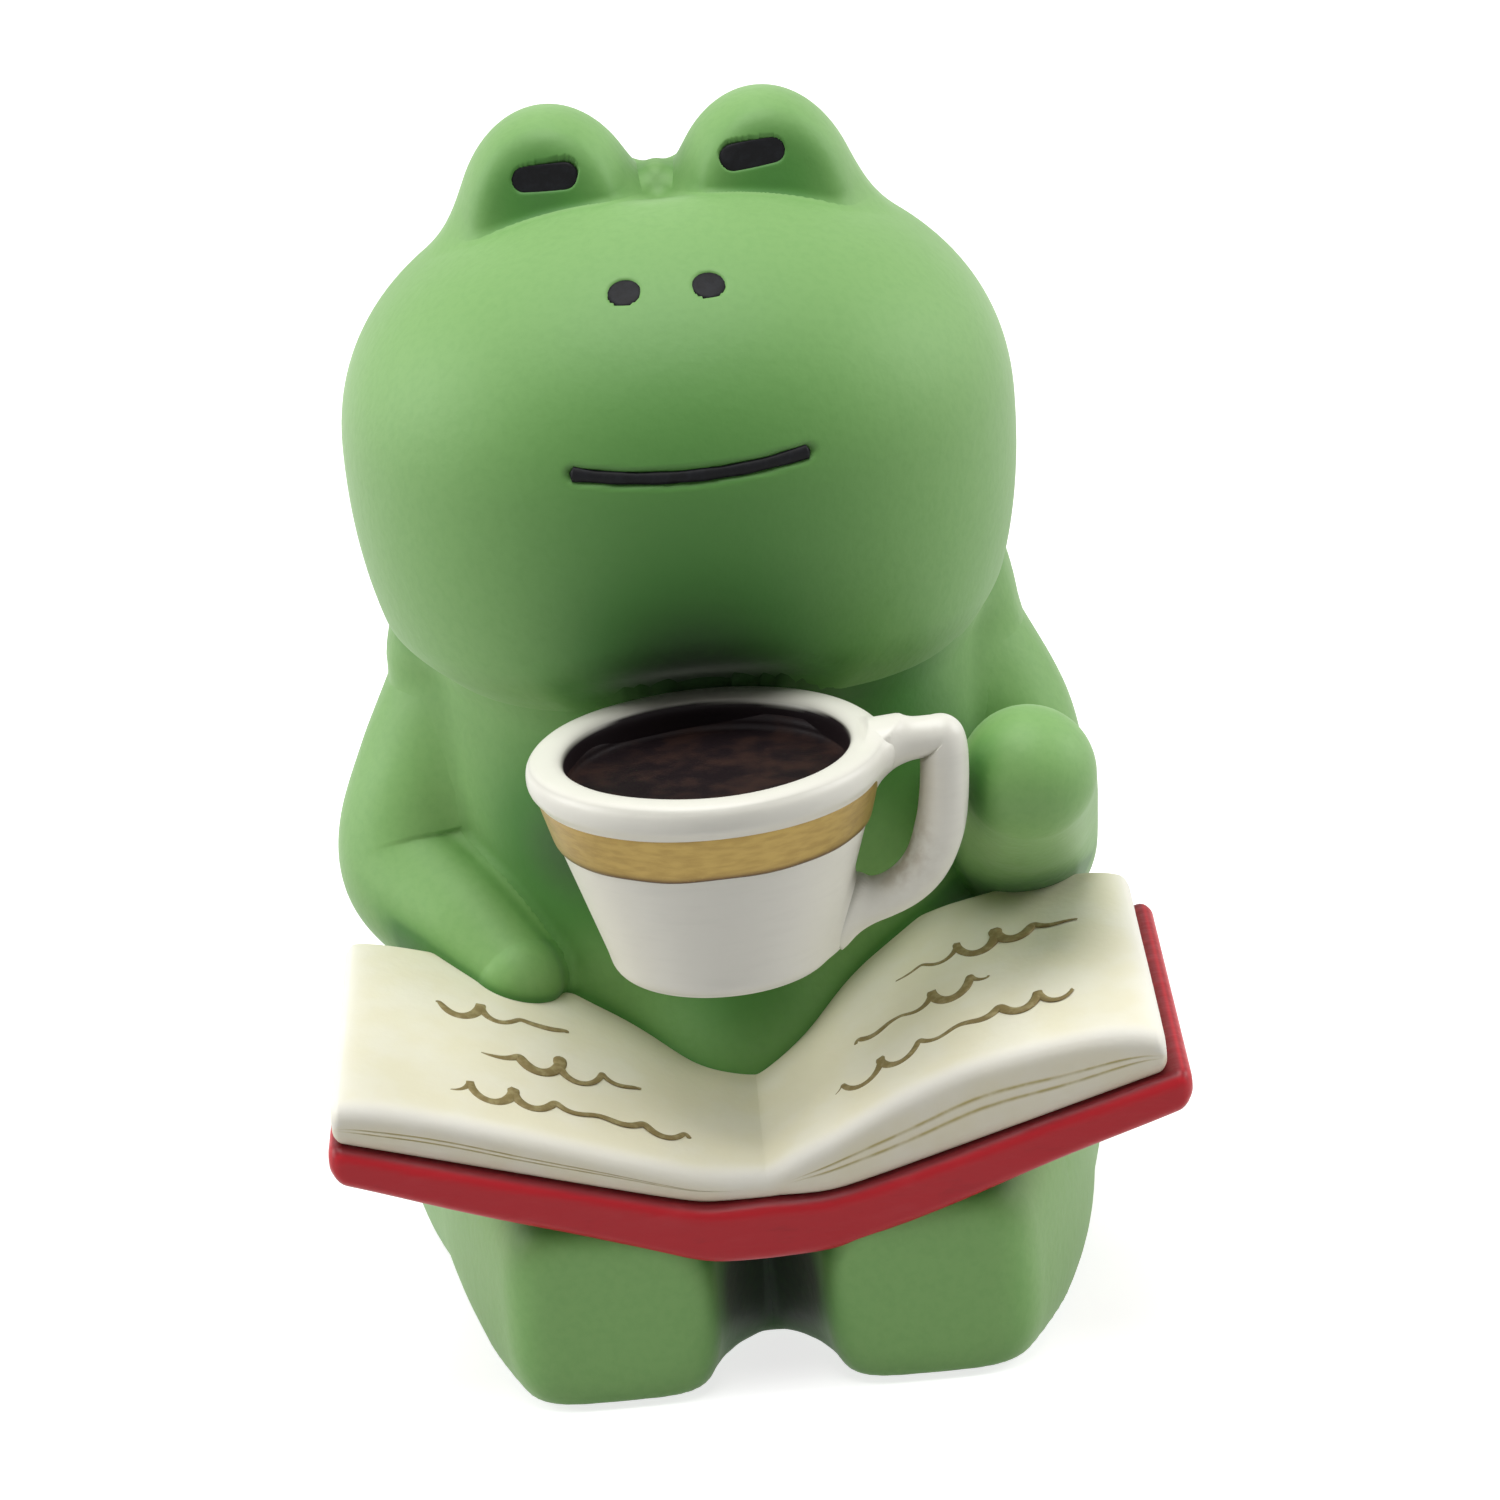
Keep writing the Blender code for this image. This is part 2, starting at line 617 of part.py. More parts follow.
def book_cover(material):
    """The case: two boards that rise from a flat spine."""
    stops = (-COVER_HALF_WIDTH, -SPINE_HALF_WIDTH, SPINE_HALF_WIDTH, COVER_HALF_WIDTH)
    under = [(x, cover_height(x)) for x in stops]
    inside = [(x, cover_top(x)) for x in stops[::-1]]
    return extruded("book_cover", under + inside, 0, COVER_DEPTH, COVER_EDGE_ROUND, material)


def pages(name, side, thickness, material):
    """A block of pages that swells from the gutter and rounds over to its fore-edge."""
    start = CLEARANCE / 2
    end = COVER_HALF_WIDTH - PAGE_MARGIN
    share = (1 - np.cos(np.linspace(0, np.pi, PAGE_STEPS))) / 2
    xs = start + (end - start) * share
    foot = np.array([cover_top(x) + CLEARANCE for x in xs])
    arch = (1 - np.abs(2 * share - 1) ** PAGE_ARCH_POWER) ** (1 / PAGE_ARCH_POWER)
    depth = GUTTER_THICKNESS + (FORE_EDGE_THICKNESS - GUTTER_THICKNESS) * share + thickness * arch
    under = [(side * x, z) for x, z in zip(xs, foot)]
    over = [(side * x, z) for x, z in zip(xs[::-1], (foot + depth)[::-1])]
    outline = under + over
    return extruded(name, outline, PAGE_MARGIN, COVER_DEPTH - PAGE_MARGIN, PAGE_EDGE_ROUND, material)


def place_under(parent_name, place, tilt, children):
    """Parents pieces to an empty at a place, turned about X."""
    parent = bpy.data.objects.new(parent_name, None)
    parent.location = place
    parent.rotation_euler = (radians(tilt), 0, 0)
    bpy.context.scene.collection.objects.link(parent)
    for child in children:
        child.parent = parent
    bpy.context.view_layer.update()


def mouth(material):
    """The mouth: a thin bowed rod of enamel that follows the face, sunk a little."""
    spread = np.linspace(-1, 1, LIMB_RINGS)
    knots = []
    for share in spread:
        z = MOUTH_Z + MOUTH_BOW * (share**2 - 1)
        place, outward = face_place(MOUTH_X + share * MOUTH_HALF_LENGTH, z)
        knots.append(np.array(place - outward * MOUTH_SINK))
    return limb("mouth", knots, [MOUTH_RADIUS] * LIMB_RINGS, material, sides=MOUTH_SIDES)


def arm(name, side, elbow, elbow_radius, hand, hand_radius, material):
    """An arm in one piece: a bulging upper arm from the shoulder and a forearm, bent at the elbow."""
    shoulder = np.array([side * SHOULDER_X, SHOULDER_Y, SHOULDER_Z])
    bulge = np.array([side * UPPER_ARM_X, UPPER_ARM_Y, UPPER_ARM_Z])
    upper_radii = [SHOULDER_RADIUS, UPPER_ARM_RADIUS, elbow_radius]
    upper = limb(name, [shoulder, bulge, elbow], upper_radii, material, count=ARM_RINGS)
    wrist = elbow + (hand - elbow) * WRIST_SHARE
    fore_radii = [elbow_radius, WRIST_RADIUS, hand_radius]
    forearm = limb("forearm", [elbow, wrist, hand], fore_radii, material, count=ARM_RINGS)
    triangulate(forearm)
    combine(upper, [forearm], "UNION")
    return upper


def cup_arm(material):
    """The left arm, bent forward so that its fist is round the cup's handle."""
    grip_x = CUP_X + CUP_RIM_RADIUS + HANDLE_STANDOFF
    grip_z = CUP_BASE_Z + (CUP_HEIGHT - HANDLE_TOP_BELOW_RIM + HANDLE_FOOT_RAISE) / 2
    fist = np.array([grip_x + FIST_OUT, CUP_Y + FIST_BACK, grip_z + FIST_RAISE])
    elbow = np.array([CUP_ELBOW_X, CUP_ELBOW_Y, CUP_ELBOW_Z])
    return arm("cup_arm", 1, elbow, CUP_ELBOW_RADIUS, fist, FIST_RADIUS, material)


def book_arm(material):
    """The right arm, with its hand on the far edge of the page."""
    tilt = radians(BOOK_TILT)
    reach = COVER_DEPTH - HAND_IN_FROM_EDGE
    page = cover_top(HAND_X) + RIGHT_PAGE_THICKNESS + HAND_RAISE
    hand_y = BOOK_Y + reach * np.cos(tilt) - page * np.sin(tilt)
    hand_z = BOOK_Z + reach * np.sin(tilt) + page * np.cos(tilt)
    hand = np.array([-HAND_X, hand_y, hand_z])
    elbow = np.array([-BOOK_ELBOW_X, BOOK_ELBOW_Y, BOOK_ELBOW_Z])
    return arm("book_arm", -1, elbow, BOOK_ELBOW_RADIUS, hand, HAND_RADIUS, material)


def build():
    """Clears the scene, makes every blank and then cuts each where its neighbours seat."""
    for old in list(bpy.data.objects):
        bpy.data.objects.remove(old)
    green = paint("green_matt_paint", (0.21, 0.43, 0.14), 0.75)
    white = paint("white_satin_paint", (0.80, 0.79, 0.76), 0.45)
    brown = paint("brown_gloss_paint", (0.03, 0.01, 0.01), 0.25)
    gold = paint("bronze_gold_paint", (0.43, 0.27, 0.07), 0.45, 0.6)
    red = paint("red_satin_paint", (0.55, 0.02, 0.03), 0.5)
    cream = paint("cream_matt_paint", (0.86, 0.80, 0.62), 0.7)
    black = paint("black_enamel", (0.012, 0.012, 0.016), 0.35)

    mug, band = cup(white), gold_band(gold)
    place_under("cup_place", (CUP_X, CUP_Y, CUP_BASE_Z), 0, [mug, coffee(brown), band])
    book = [book_cover(red), pages("right_pages", -1, RIGHT_PAGE_THICKNESS, cream)]
    book.append(pages("left_pages", 1, LEFT_PAGE_THICKNESS, cream))
    place_under("book_place", (BOOK_X, BOOK_Y, BOOK_Z), BOOK_TILT, book)

    marks = [mouth(black)]
    for name, side, roll in (("left", 1, LEFT_EYE_ROLL), ("right", -1, 0)):
        eye_x = EYES_X + side * EYE_SPREAD
        nostril_x = HEAD_X + side * NOSTRIL_SPREAD
        marks.append(mark(name + "_eye", eye_x, EYE_Z, EYE_HALF_LENGTH, EYE_HALF_HEIGHT, roll, black))
        nostril = mark(name + "_nostril", nostril_x, NOSTRIL_Z, NOSTRIL_RADIUS, NOSTRIL_RADIUS, 0, black)
        marks.append(nostril)
    skull = head(green)
    trunk = torso(green)
    legs = [leg("left_leg", 1, green), leg("right_leg", -1, green)]
    arms = [cup_arm(green), book_arm(green)]
    bpy.context.view_layer.update()

    for arm in arms:
        seat(arm, [trunk, skull, mug, *book])
    for thigh in legs:
        seat(thigh, [trunk, *book])
    seat(trunk, [skull, mug, band, *book])
    seat(skull, [mug, *marks])


build()
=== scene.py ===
"""The looks of a seated frog ornament: painted cast resin, with a cup of coffee and an open book.

The frog faces -Y, and left and right are its own. Sizes are in millimetres in the part's frame, and
become metres only where a mesh is made. The green body is one sculpted form: each limb is a signed
distance, its surface is found along rays, and neighbours share a fillet, so that their surfaces meet
The same distances say how deep a point lies in a crease, which darkens the paint there as painted shade.
"""

from __future__ import annotations

import logging
import math
from abc import ABC, abstractmethod
from dataclasses import dataclass, field
from enum import Enum
from typing import Sequence

import bpy
import numpy as np
from mathutils import Matrix, Vector


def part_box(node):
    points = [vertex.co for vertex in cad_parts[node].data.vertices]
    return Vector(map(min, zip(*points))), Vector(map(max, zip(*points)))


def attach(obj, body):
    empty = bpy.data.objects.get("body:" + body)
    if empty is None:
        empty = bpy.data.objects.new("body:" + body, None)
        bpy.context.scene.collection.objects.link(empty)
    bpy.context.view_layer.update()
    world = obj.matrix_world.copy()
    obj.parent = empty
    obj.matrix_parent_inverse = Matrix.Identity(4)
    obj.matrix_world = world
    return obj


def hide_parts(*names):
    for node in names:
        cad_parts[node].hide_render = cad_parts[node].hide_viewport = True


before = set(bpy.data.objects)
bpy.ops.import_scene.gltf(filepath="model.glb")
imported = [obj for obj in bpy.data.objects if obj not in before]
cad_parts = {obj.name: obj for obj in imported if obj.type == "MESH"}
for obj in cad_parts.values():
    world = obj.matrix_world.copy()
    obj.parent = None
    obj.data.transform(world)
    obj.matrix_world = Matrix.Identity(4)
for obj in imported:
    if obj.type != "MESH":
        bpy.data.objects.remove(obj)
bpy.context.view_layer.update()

Array = np.ndarray
Triple = tuple[float, float, float]
Pair = tuple[float, float]
LOG = logging.getLogger("frog")

MM = 0.001
BODY = "root"
# How many steps a ray is walked in, and how often the last one is then halved
MARCH_STEPS = 26
HALVINGS = 14
# A length too small to matter, and the sine under which two directions count as parallel
TINY = 1e-6
PARALLEL = 0.05
# How far above a surface its neighbours are looked for, in millimetres
CREASE_REACHES = (0.5, 1.0, 2.0, 4.0)


class Slot(Enum):
    """The record's material slots."""

    GREEN = "green_paint"
    WHITE = "white_paint"
    COFFEE = "coffee_paint"
    BRONZE = "bronze_paint"
    RED = "red_paint"
    CREAM = "cream_paint"
    BLACK = "black_enamel"


class Side(Enum):
    """The frog's own sides, as the sign of X."""

    LEFT = 1
    RIGHT = -1

    @property
    def word(self) -> str:
        """The side's name in lower case."""
        return self.name.lower()


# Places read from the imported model


def node_box(node: str) -> tuple[Array, Array]:
    """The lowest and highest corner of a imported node, in millimetres.

    Args:
        node: the node's name.

    Returns:
        The two corners.
    """
    low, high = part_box(node)
    return np.array(low) / MM, np.array(high) / MM


def node_centre(node: str) -> Array:
    """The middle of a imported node's box, in millimetres."""
    low, high = node_box(node)
    return (low + high) / 2


# Signed distances


def fillet(first: Array, second: Array, radius: float) -> Array:
    """How far a fillet lifts a surface near its neighbour.

    A quarter of the radius times the square of (1 - |difference of the distances| / radius).

    Args:
        first: distances to one form.
        second: distances to its neighbour.
        radius: the reach of the fillet.

    Returns:
        The lift at each point.
    """
    return radius / 4 * np.clip(1 - np.abs(first - second) / radius, 0, 1) ** 2


def soft_union(first: Array, second: Array, radius: float) -> Array:
    """The smaller of two distances, lowered by their fillet."""
    return np.minimum(first, second) - fillet(first, second, radius)


def soft_common(first: Array, second: Array, radius: float) -> Array:
    """The larger of two distances, raised by their fillet."""
    return np.maximum(first, second) + fillet(first, second, radius)


class Form(ABC):
    """A solid described by its signed distance, negative inside."""

    @abstractmethod
    def distance(self, points: Array) -> Array:
        """Signed distances of points whose last axis is x, y, z."""


@dataclass(frozen=True)
class Egg(Form):
    """An ellipsoid whose upper and lower halves differ in height.

    With q the squareness, reach is the q-norm of offset / radii, and the distance is (reach - 1)
    divided by the reach's own slope. A squareness over 2 fills the shoulders out.
    """

    centre: Triple
    half_width: float
    half_depth: float
    rise: float
    drop: float
    squareness: float = 2.0

    def distance(self, points: Array) -> Array:
        """Signed distances to the egg.

        Args:
            points: their last axis is x, y, z.

        Returns:
            One distance for each point.
        """
        offset = points - np.array(self.centre)
        height = np.where(offset[..., 2] > 0, self.rise, self.drop)
        wide, deep = np.full_like(height, self.half_width), np.full_like(height, self.half_depth)
        radii = np.stack([wide, deep, height], -1)
        offset = np.abs(offset) + TINY
        q = self.squareness
        reach = np.sum((offset / radii) ** q, axis=-1) ** (1 / q)
        slope = np.linalg.norm(offset ** (q - 1) / radii**q, axis=-1)
        return (reach - 1) * reach ** (q - 1) / slope


@dataclass(frozen=True)
class Beyond(Form):
    """The half of space behind a plane."""

    place: Triple
    outward: Triple

    def distance(self, points: Array) -> Array:
        """Signed distances to the plane along its outward direction."""
        outward = np.array(self.outward) / np.linalg.norm(self.outward)
        return (points - np.array(self.place)) @ outward


@dataclass(frozen=True)
class Chain(Form):
    """Round cones from knot to knot, each joined to the next by a fillet."""

    knots: Sequence[Array]
    radii: Sequence[float]
    blend: float

    def distance(self, points: Array) -> Array:
        """Signed distances: along each stretch, the distance to its axis less its radius there.

        Args:
            points: their last axis is x, y, z.

        Returns:
            One distance for each point.
        """
        total = None
        for start, end, low, high in zip(self.knots, self.knots[1:], self.radii, self.radii[1:]):
            along = np.asarray(end) - np.asarray(start)
            share = np.clip((points - start) @ along / max(along @ along, TINY), 0, 1)[..., None]
            radius = low + (high - low) * share[..., 0]
            gap = np.linalg.norm(points - (start + along * share), axis=-1) - radius
            total = gap if total is None else soft_union(total, gap, self.blend)
        return total


def ball(centre: Sequence[float], radius: float) -> Chain:
    """A ball, as a chain whose two knots fall together."""
    return Chain([np.array(centre)] * 2, [radius] * 2, TINY)


@dataclass(frozen=True)
class Rope(Form):
    """A round tube of changing thickness along the smooth curve through its knots.

    The nearest point of the curve is looked for among every stride-th of its points, and then
    refined by Newton's method on the slope of the squared distance, whose own slope is kept above a
    share of what it is on a straight line.
    """

    knots: Sequence[Sequence[float]]
    radii: Sequence[float]
    count: int = 600
    stride: int = 12
    refinements: int = 4
    least_pull: float = 0.3

    def distance(self, points: Array) -> Array:
        """Signed distances: to the curve's nearest point, less the radius there.

        Args:
            points: their last axis is x, y, z.

        Returns:
            One distance for each point.
        """
        table = through([(*knot, radius) for knot, radius in zip(self.knots, self.radii)], self.count)
        slopes = np.gradient(table, axis=0)
        bends = np.gradient(slopes, axis=0)[:, :3]
        flat = points.reshape(-1, 3)
        few = table[:: self.stride, :3]
        place = np.argmin(np.sum(few**2, axis=1) - 2 * flat @ few.T, axis=1) * float(self.stride)
        for _ in range(self.refinements):
            low = np.minimum(place.astype(int), self.count - 2)
            here = table[low] + slopes[low] * (place - low)[:, None]
            gap, slope = flat - here[:, :3], slopes[low, :3]
            length = np.sum(slope**2, axis=1)
            pull = np.maximum(length - np.sum(gap * bends[low], axis=1), self.least_pull * length)
            place = np.clip(place + np.sum(gap * slope, axis=1) / pull, 0, self.count - 1)
        low = np.minimum(place.astype(int), self.count - 2)
        here = table[low] + (table[low + 1] - table[low]) * (place - low)[:, None]
        return (np.linalg.norm(flat - here[:, :3], axis=1) - here[:, 3]).reshape(points.shape[:-1])


@dataclass(frozen=True)
class Joined(Form):
    """Forms joined with a fillet."""

    parts: Sequence[Form]
    blend: float

    def distance(self, points: Array) -> Array:
        """Signed distances to the joined forms.

        Args:
            points: their last axis is x, y, z.

        Returns:
            One distance for each point.
        """
        total = self.parts[0].distance(points)
        for part in self.parts[1:]:
            total = soft_union(total, part.distance(points), self.blend)
        return total


@dataclass(frozen=True)
class Shared(Form):
    """What forms have in common, with its edges rounded."""

    parts: Sequence[Form]
    blend: float

    def distance(self, points: Array) -> Array:
        """Signed distances to the common part.

        Args:
            points: their last axis is x, y, z.

        Returns:
            One distance for each point.
        """
        total = self.parts[0].distance(points)
        for part in self.parts[1:]:
            total = soft_common(total, part.distance(points), self.blend)
        return total


@dataclass(frozen=True)
class Carved(Form):
    """A form with others cut out of it, each with a rounded lip."""

    body: Form
    cutters: Sequence[Form]
    lip: float

    def distance(self, points: Array) -> Array:
        """Signed distances to what is left.

        Args:
            points: their last axis is x, y, z.

        Returns:
            One distance for each point.
        """
        total = self.body.distance(points)
        for cutter in self.cutters:
            total = soft_common(total, -cutter.distance(points), self.lip)
        return total


@dataclass(frozen=True)
class Grown(Form):
    """A form made larger all round, or smaller where the growth is negative."""

    body: Form
    growth: float

    def distance(self, points: Array) -> Array:
        """Signed distances to the grown form."""
        return self.body.distance(points) - self.growth


@dataclass(frozen=True)
class Fade:
    """A fillet's radius that runs from one value to another over a stretch of y."""

    first: float
    last: float
    first_y: float
    last_y: float

    def at(self, points: Array) -> Array:
        """The radius at each point, eased at both ends of the stretch."""
        share = np.clip((points[..., 1] - self.first_y) / (self.last_y - self.first_y), 0, 1)
        return self.first + (self.last - self.first) * share**2 * (3 - 2 * share)


@dataclass(frozen=True)
class Filleted(Form):
    """A form lifted by the fillets to its neighbours, so that their surfaces run into each other.

    With u the difference of the two distances over the radius, the lift is a quarter of the radius
    times (1 + u) squared up to the line where the two meet, u = 0. Past it the neighbour covers the
    form, and half the radius times u squared comes off, which lets the form dip under without a kink.
    """

    body: Form
    neighbours: Sequence[tuple[Form, float | Fade]]

    def distance(self, points: Array) -> Array:
        """Signed distances to the body, less the lift towards each neighbour.

        Args:
            points: their last axis is x, y, z.

        Returns:
            One distance for each point.
        """
        own = self.body.distance(points)
        lift = np.zeros_like(own)
        for neighbour, reach in self.neighbours:
            radius = reach.at(points) if isinstance(reach, Fade) else reach
            u = np.clip((own - neighbour.distance(points)) / radius, -1, 1)
            lift = lift + radius * ((1 + u) ** 2 / 4 - np.maximum(u, 0) ** 2 / 2)
        return own - lift


# Surfaces


def unit(vectors: Array) -> Array:
    """Vectors scaled to length one."""
    return vectors / np.maximum(np.linalg.norm(vectors, axis=-1, keepdims=True), TINY)


def cast(form: Form, origins: Array, directions: Array, reach: float) -> Array:
    """Follows rays from inside a form to where they first leave it.

    Each ray is walked in equal steps to the first point outside, and the last step is then halved
    over and over.

    Args:
        form: the solid.
        origins: where each ray starts, of any shape that broadcasts to the directions.
        directions: unit directions, whose last axis is x, y, z.
        reach: the longest way to look.

    Returns:
        The points where the rays leave.
    """
    near = np.zeros(directions.shape[:-1])
    far = np.full(directions.shape[:-1], reach)
    left = np.zeros(directions.shape[:-1], dtype=bool)
    for step in np.linspace(0, reach, MARCH_STEPS + 1)[1:]:
        outside = form.distance(origins + directions * step) > 0
        far = np.where(outside & ~left, step, far)
        left |= outside
        near = np.where(left, near, step)
    for _ in range(HALVINGS):
        middle = (near + far) / 2
        inside = form.distance(origins + directions * middle[..., None]) < 0
        near = np.where(inside, middle, near)
        far = np.where(inside, far, middle)
    return origins + directions * near[..., None]


@dataclass(frozen=True)
class Tube:
    """A closed surface of rings, rows by columns, with a tip in each end, or a hoop where it has none."""

    rings: Array
    tips: Array | None = None

    def faces(self) -> tuple[Array, Array]:
        """The quads between rings and the triangles round the tips, as vertex numbers.

        Returns:
            The quads and the triangles.
        """
        rows, columns = self.rings.shape[:2]
        index = np.arange(rows * columns).reshape(rows, columns)
        after = np.roll(index, -1, axis=1)
        if self.tips is None:
            quads = np.stack([index, after, np.roll(after, -1, axis=0), np.roll(index, -1, axis=0)], -1)
            return quads.reshape(-1, 4), np.empty((0, 3), dtype=int)
        quads = np.stack([index[:-1], after[:-1], after[1:], index[1:]], -1).reshape(-1, 4)
        first = np.stack([after[0], index[0], np.full(columns, rows * columns)], -1)
        last = np.stack([index[-1], after[-1], np.full(columns, rows * columns + 1)], -1)
        return quads, np.concatenate([first, last])

    def vertices(self) -> Array:
        """All points, the rings first and the two tips last."""
        points = self.rings.reshape(-1, 3)
        return points if self.tips is None else np.concatenate([points, self.tips])


def globe(
    form: Form, core: Sequence[float], rows: int, columns: int, reach: float, focus: float = 0.0
) -> Tube:
    """A surface found along rays from one point, as latitudes and longitudes about Z.

    Longitude a is drawn towards the front, -Y, by a - focus * sin(a).

    Args:
        form: the solid.
        core: the point inside it.
        rows: how many latitudes.
        columns: how many longitudes.
        reach: the longest way from the core to the surface.
        focus: from 0, even, to under 1, crowded at the front.

    Returns:
        The closed surface.
    """
    turn = np.linspace(-np.pi, np.pi, columns, endpoint=False)
    turn = (turn - focus * np.sin(turn))[None, :]
    lift = np.linspace(-np.pi / 2, np.pi / 2, rows + 2)[1:-1, None]
    flat = np.cos(lift)
    directions = np.stack([flat * np.sin(turn), -flat * np.cos(turn), np.sin(lift) + 0 * turn], -1)
    poles = np.array([[0.0, 0.0, -1.0], [0.0, 0.0, 1.0]])
    core = np.array(core)
    return Tube(cast(form, core, directions, reach), cast(form, core, poles, reach))


def through(knots: Sequence[Sequence[float]], count: int) -> Array:
    """Points evenly spaced in parameter on the Catmull-Rom curve through the knots.

    Args:
        knots: the points to pass.
        count: how many points to give.

    Returns:
        The points, row by row.
    """
    knots = np.asarray(knots, dtype=float)
    padded = np.concatenate([[2 * knots[0] - knots[1]], knots, [2 * knots[-1] - knots[-2]]])
    place = np.linspace(0, len(knots) - 1, count)
    first = np.minimum(place.astype(int), len(knots) - 2)
    t = (place - first)[:, None]
    a, b, c, d = (padded[first + step] for step in range(4))
    twice = 2 * b + (c - a) * t + (2 * a - 5 * b + 4 * c - d) * t**2 + (3 * b - a - 3 * c + d) * t**3
    return 0.5 * twice


def full_turn(count: int) -> Array:
    """Angles spaced evenly round a circle."""
    return np.linspace(0, 2 * np.pi, count, endpoint=False)


def ends_held(rows: Array, count: int) -> Array:
    """Rows with the first and the last repeated this many times more."""
    return np.concatenate([np.repeat(rows[:1], count, 0), rows, np.repeat(rows[-1:], count, 0)])


def limb(
    form: Form, path: Array, first: Array, last: Array, sides: int, cap_rows: int, reach: float
) -> Tube:
    """A surface found along rays that leave a path sideways, and fan out past its two ends.

    The sideways plane turns evenly from the first direction to the last, so that rings don't cross
    at a bend.

    Args:
        form: the solid.
        path: points inside it, row by row.
        first: the way that the path sets off.
        last: the way that it ends.
        sides: rays to a ring.
        cap_rows: rings in each fan.
        reach: the longest way from the path to the surface.

    Returns:
        The closed surface.
    """
    share = np.linspace(0, 1, len(path))[:, None]
    tangents = unit(unit(first) * (1 - share) + unit(last) * share)
    hinge = np.cross(unit(first), unit(last))
    if np.linalg.norm(hinge) < PARALLEL:
        hinge = np.cross(unit(first), (0.0, 0.0, 1.0))
    across = unit(hinge - tangents * np.sum(tangents * hinge, axis=-1, keepdims=True))
    up = np.cross(tangents, across)
    bends = np.linspace(0, np.pi / 2, cap_rows + 2)[1:-1, None]
    origins, across, up = (ends_held(rows, cap_rows) for rows in (path, across, up))
    lean = np.concatenate([-tangents[0] * np.sin(bends[::-1]), 0 * path, tangents[-1] * np.sin(bends)])
    spread = np.concatenate([np.cos(bends[::-1]), np.ones((len(path), 1)), np.cos(bends)])
    turn = full_turn(sides)
    ring = np.cos(turn)[:, None] * across[:, None, :] + np.sin(turn)[:, None] * up[:, None, :]
    directions = unit(ring * spread[:, None, :] + lean[:, None, :])
    rings = cast(form, origins[:, None, :], directions, reach)
    tips = cast(form, path[[0, -1]], np.stack([-tangents[0], tangents[-1]]), reach)
    return Tube(rings, tips)


def piped(path: Array, radii: Array, sides: int, flatness: float, up: Array) -> Tube:
    """A tube along a path, pressed flat against a surface.

    Args:
        path: points along it.
        radii: half its width at each point.
        sides: points to a ring.
        flatness: its thickness as a share of its width.
        up: the way that the surface faces at each point.

    Returns:
        The closed surface.
    """
    tangents = unit(np.gradient(path, axis=0))
    up = unit(up - tangents * np.sum(up * tangents, axis=-1, keepdims=True))
    across = np.cross(tangents, up)
    turn = full_turn(sides)[None, :, None]
    ring = np.cos(turn) * across[:, None, :] + flatness * np.sin(turn) * up[:, None, :]
    rings = path[:, None, :] + radii[:, None, None] * ring
    tips = np.stack([path[0] - tangents[0] * radii[0] / 2, path[-1] + tangents[-1] * radii[-1] / 2])
    return Tube(rings, tips)


def turned(profile: Array, sides: int) -> Tube:
    """Spins (radius, height) points that start and end on the axis about Z.

    Args:
        profile: the outline, row by row.
        sides: points to a ring.

    Returns:
        The closed surface.
    """
    turn = full_turn(sides)[None, :]
    radius, height = profile[1:-1, :1], profile[1:-1, 1:]
    rings = np.stack([radius * np.cos(turn), radius * np.sin(turn), height + 0 * turn], -1)
    tips = np.array([[0, 0, profile[0, 1]], [0, 0, profile[-1, 1]]])
    return Tube(rings, tips)


# Meshes


def mesh_object(name: str, surface: Tube) -> bpy.types.Object:
    """Puts a closed surface into a mesh with its faces pointing out.

    The volume is a sixth of the sum of a . (b x c) over the triangles, and where it is negative the
    faces are turned.

    Args:
        name: the piece's name.
        surface: its rings and tips, in millimetres.

    Returns:
        The new object, at the origin.
    """
    vertices = surface.vertices() * MM
    quads, triangles = surface.faces()
    halves = np.concatenate([quads[:, [0, 1, 2]], quads[:, [0, 2, 3]], triangles])
    a, b, c = (vertices[halves[:, i]] for i in range(3))
    if np.sum(a * np.cross(b, c)) < 0:
        quads, triangles = quads[:, ::-1], triangles[:, ::-1]
    mesh = bpy.data.meshes.new(name)
    mesh.vertices.add(len(vertices))
    mesh.vertices.foreach_set("co", vertices.ravel())
    corners = np.concatenate([quads.ravel(), triangles.ravel()])
    sizes = np.concatenate([np.full(len(quads), 4), np.full(len(triangles), 3)])
    mesh.loops.add(len(corners))
    mesh.loops.foreach_set("vertex_index", corners)
    mesh.polygons.add(len(sizes))
    mesh.polygons.foreach_set("loop_start", np.concatenate([[0], np.cumsum(sizes)[:-1]]))
    mesh.update(calc_edges=True)
    mesh.validate()
    mesh.shade_smooth()
    return in_scene(name, mesh)


def in_scene(name: str, data: bpy.types.ID) -> bpy.types.Object:
    """Puts a mesh, a lamp or a camera into the scene, as an object at the origin.

    Args:
        name: its name.
        data: what it shows.

    Returns:
        The new object.
    """
    thing = bpy.data.objects.new(name, data)
    bpy.context.scene.collection.objects.link(thing)
    return thing


def set_attribute(piece: bpy.types.Object, name: str, values: Array) -> None:
    """Stores one number for each vertex under a name that a material reads.

    Args:
        piece: the object.
        name: the attribute's name.
        values: the numbers.
    """
    attribute = piece.data.attributes.new(name, "FLOAT", "POINT")
    attribute.data.foreach_set("value", np.asarray(values, dtype=np.float32).ravel())


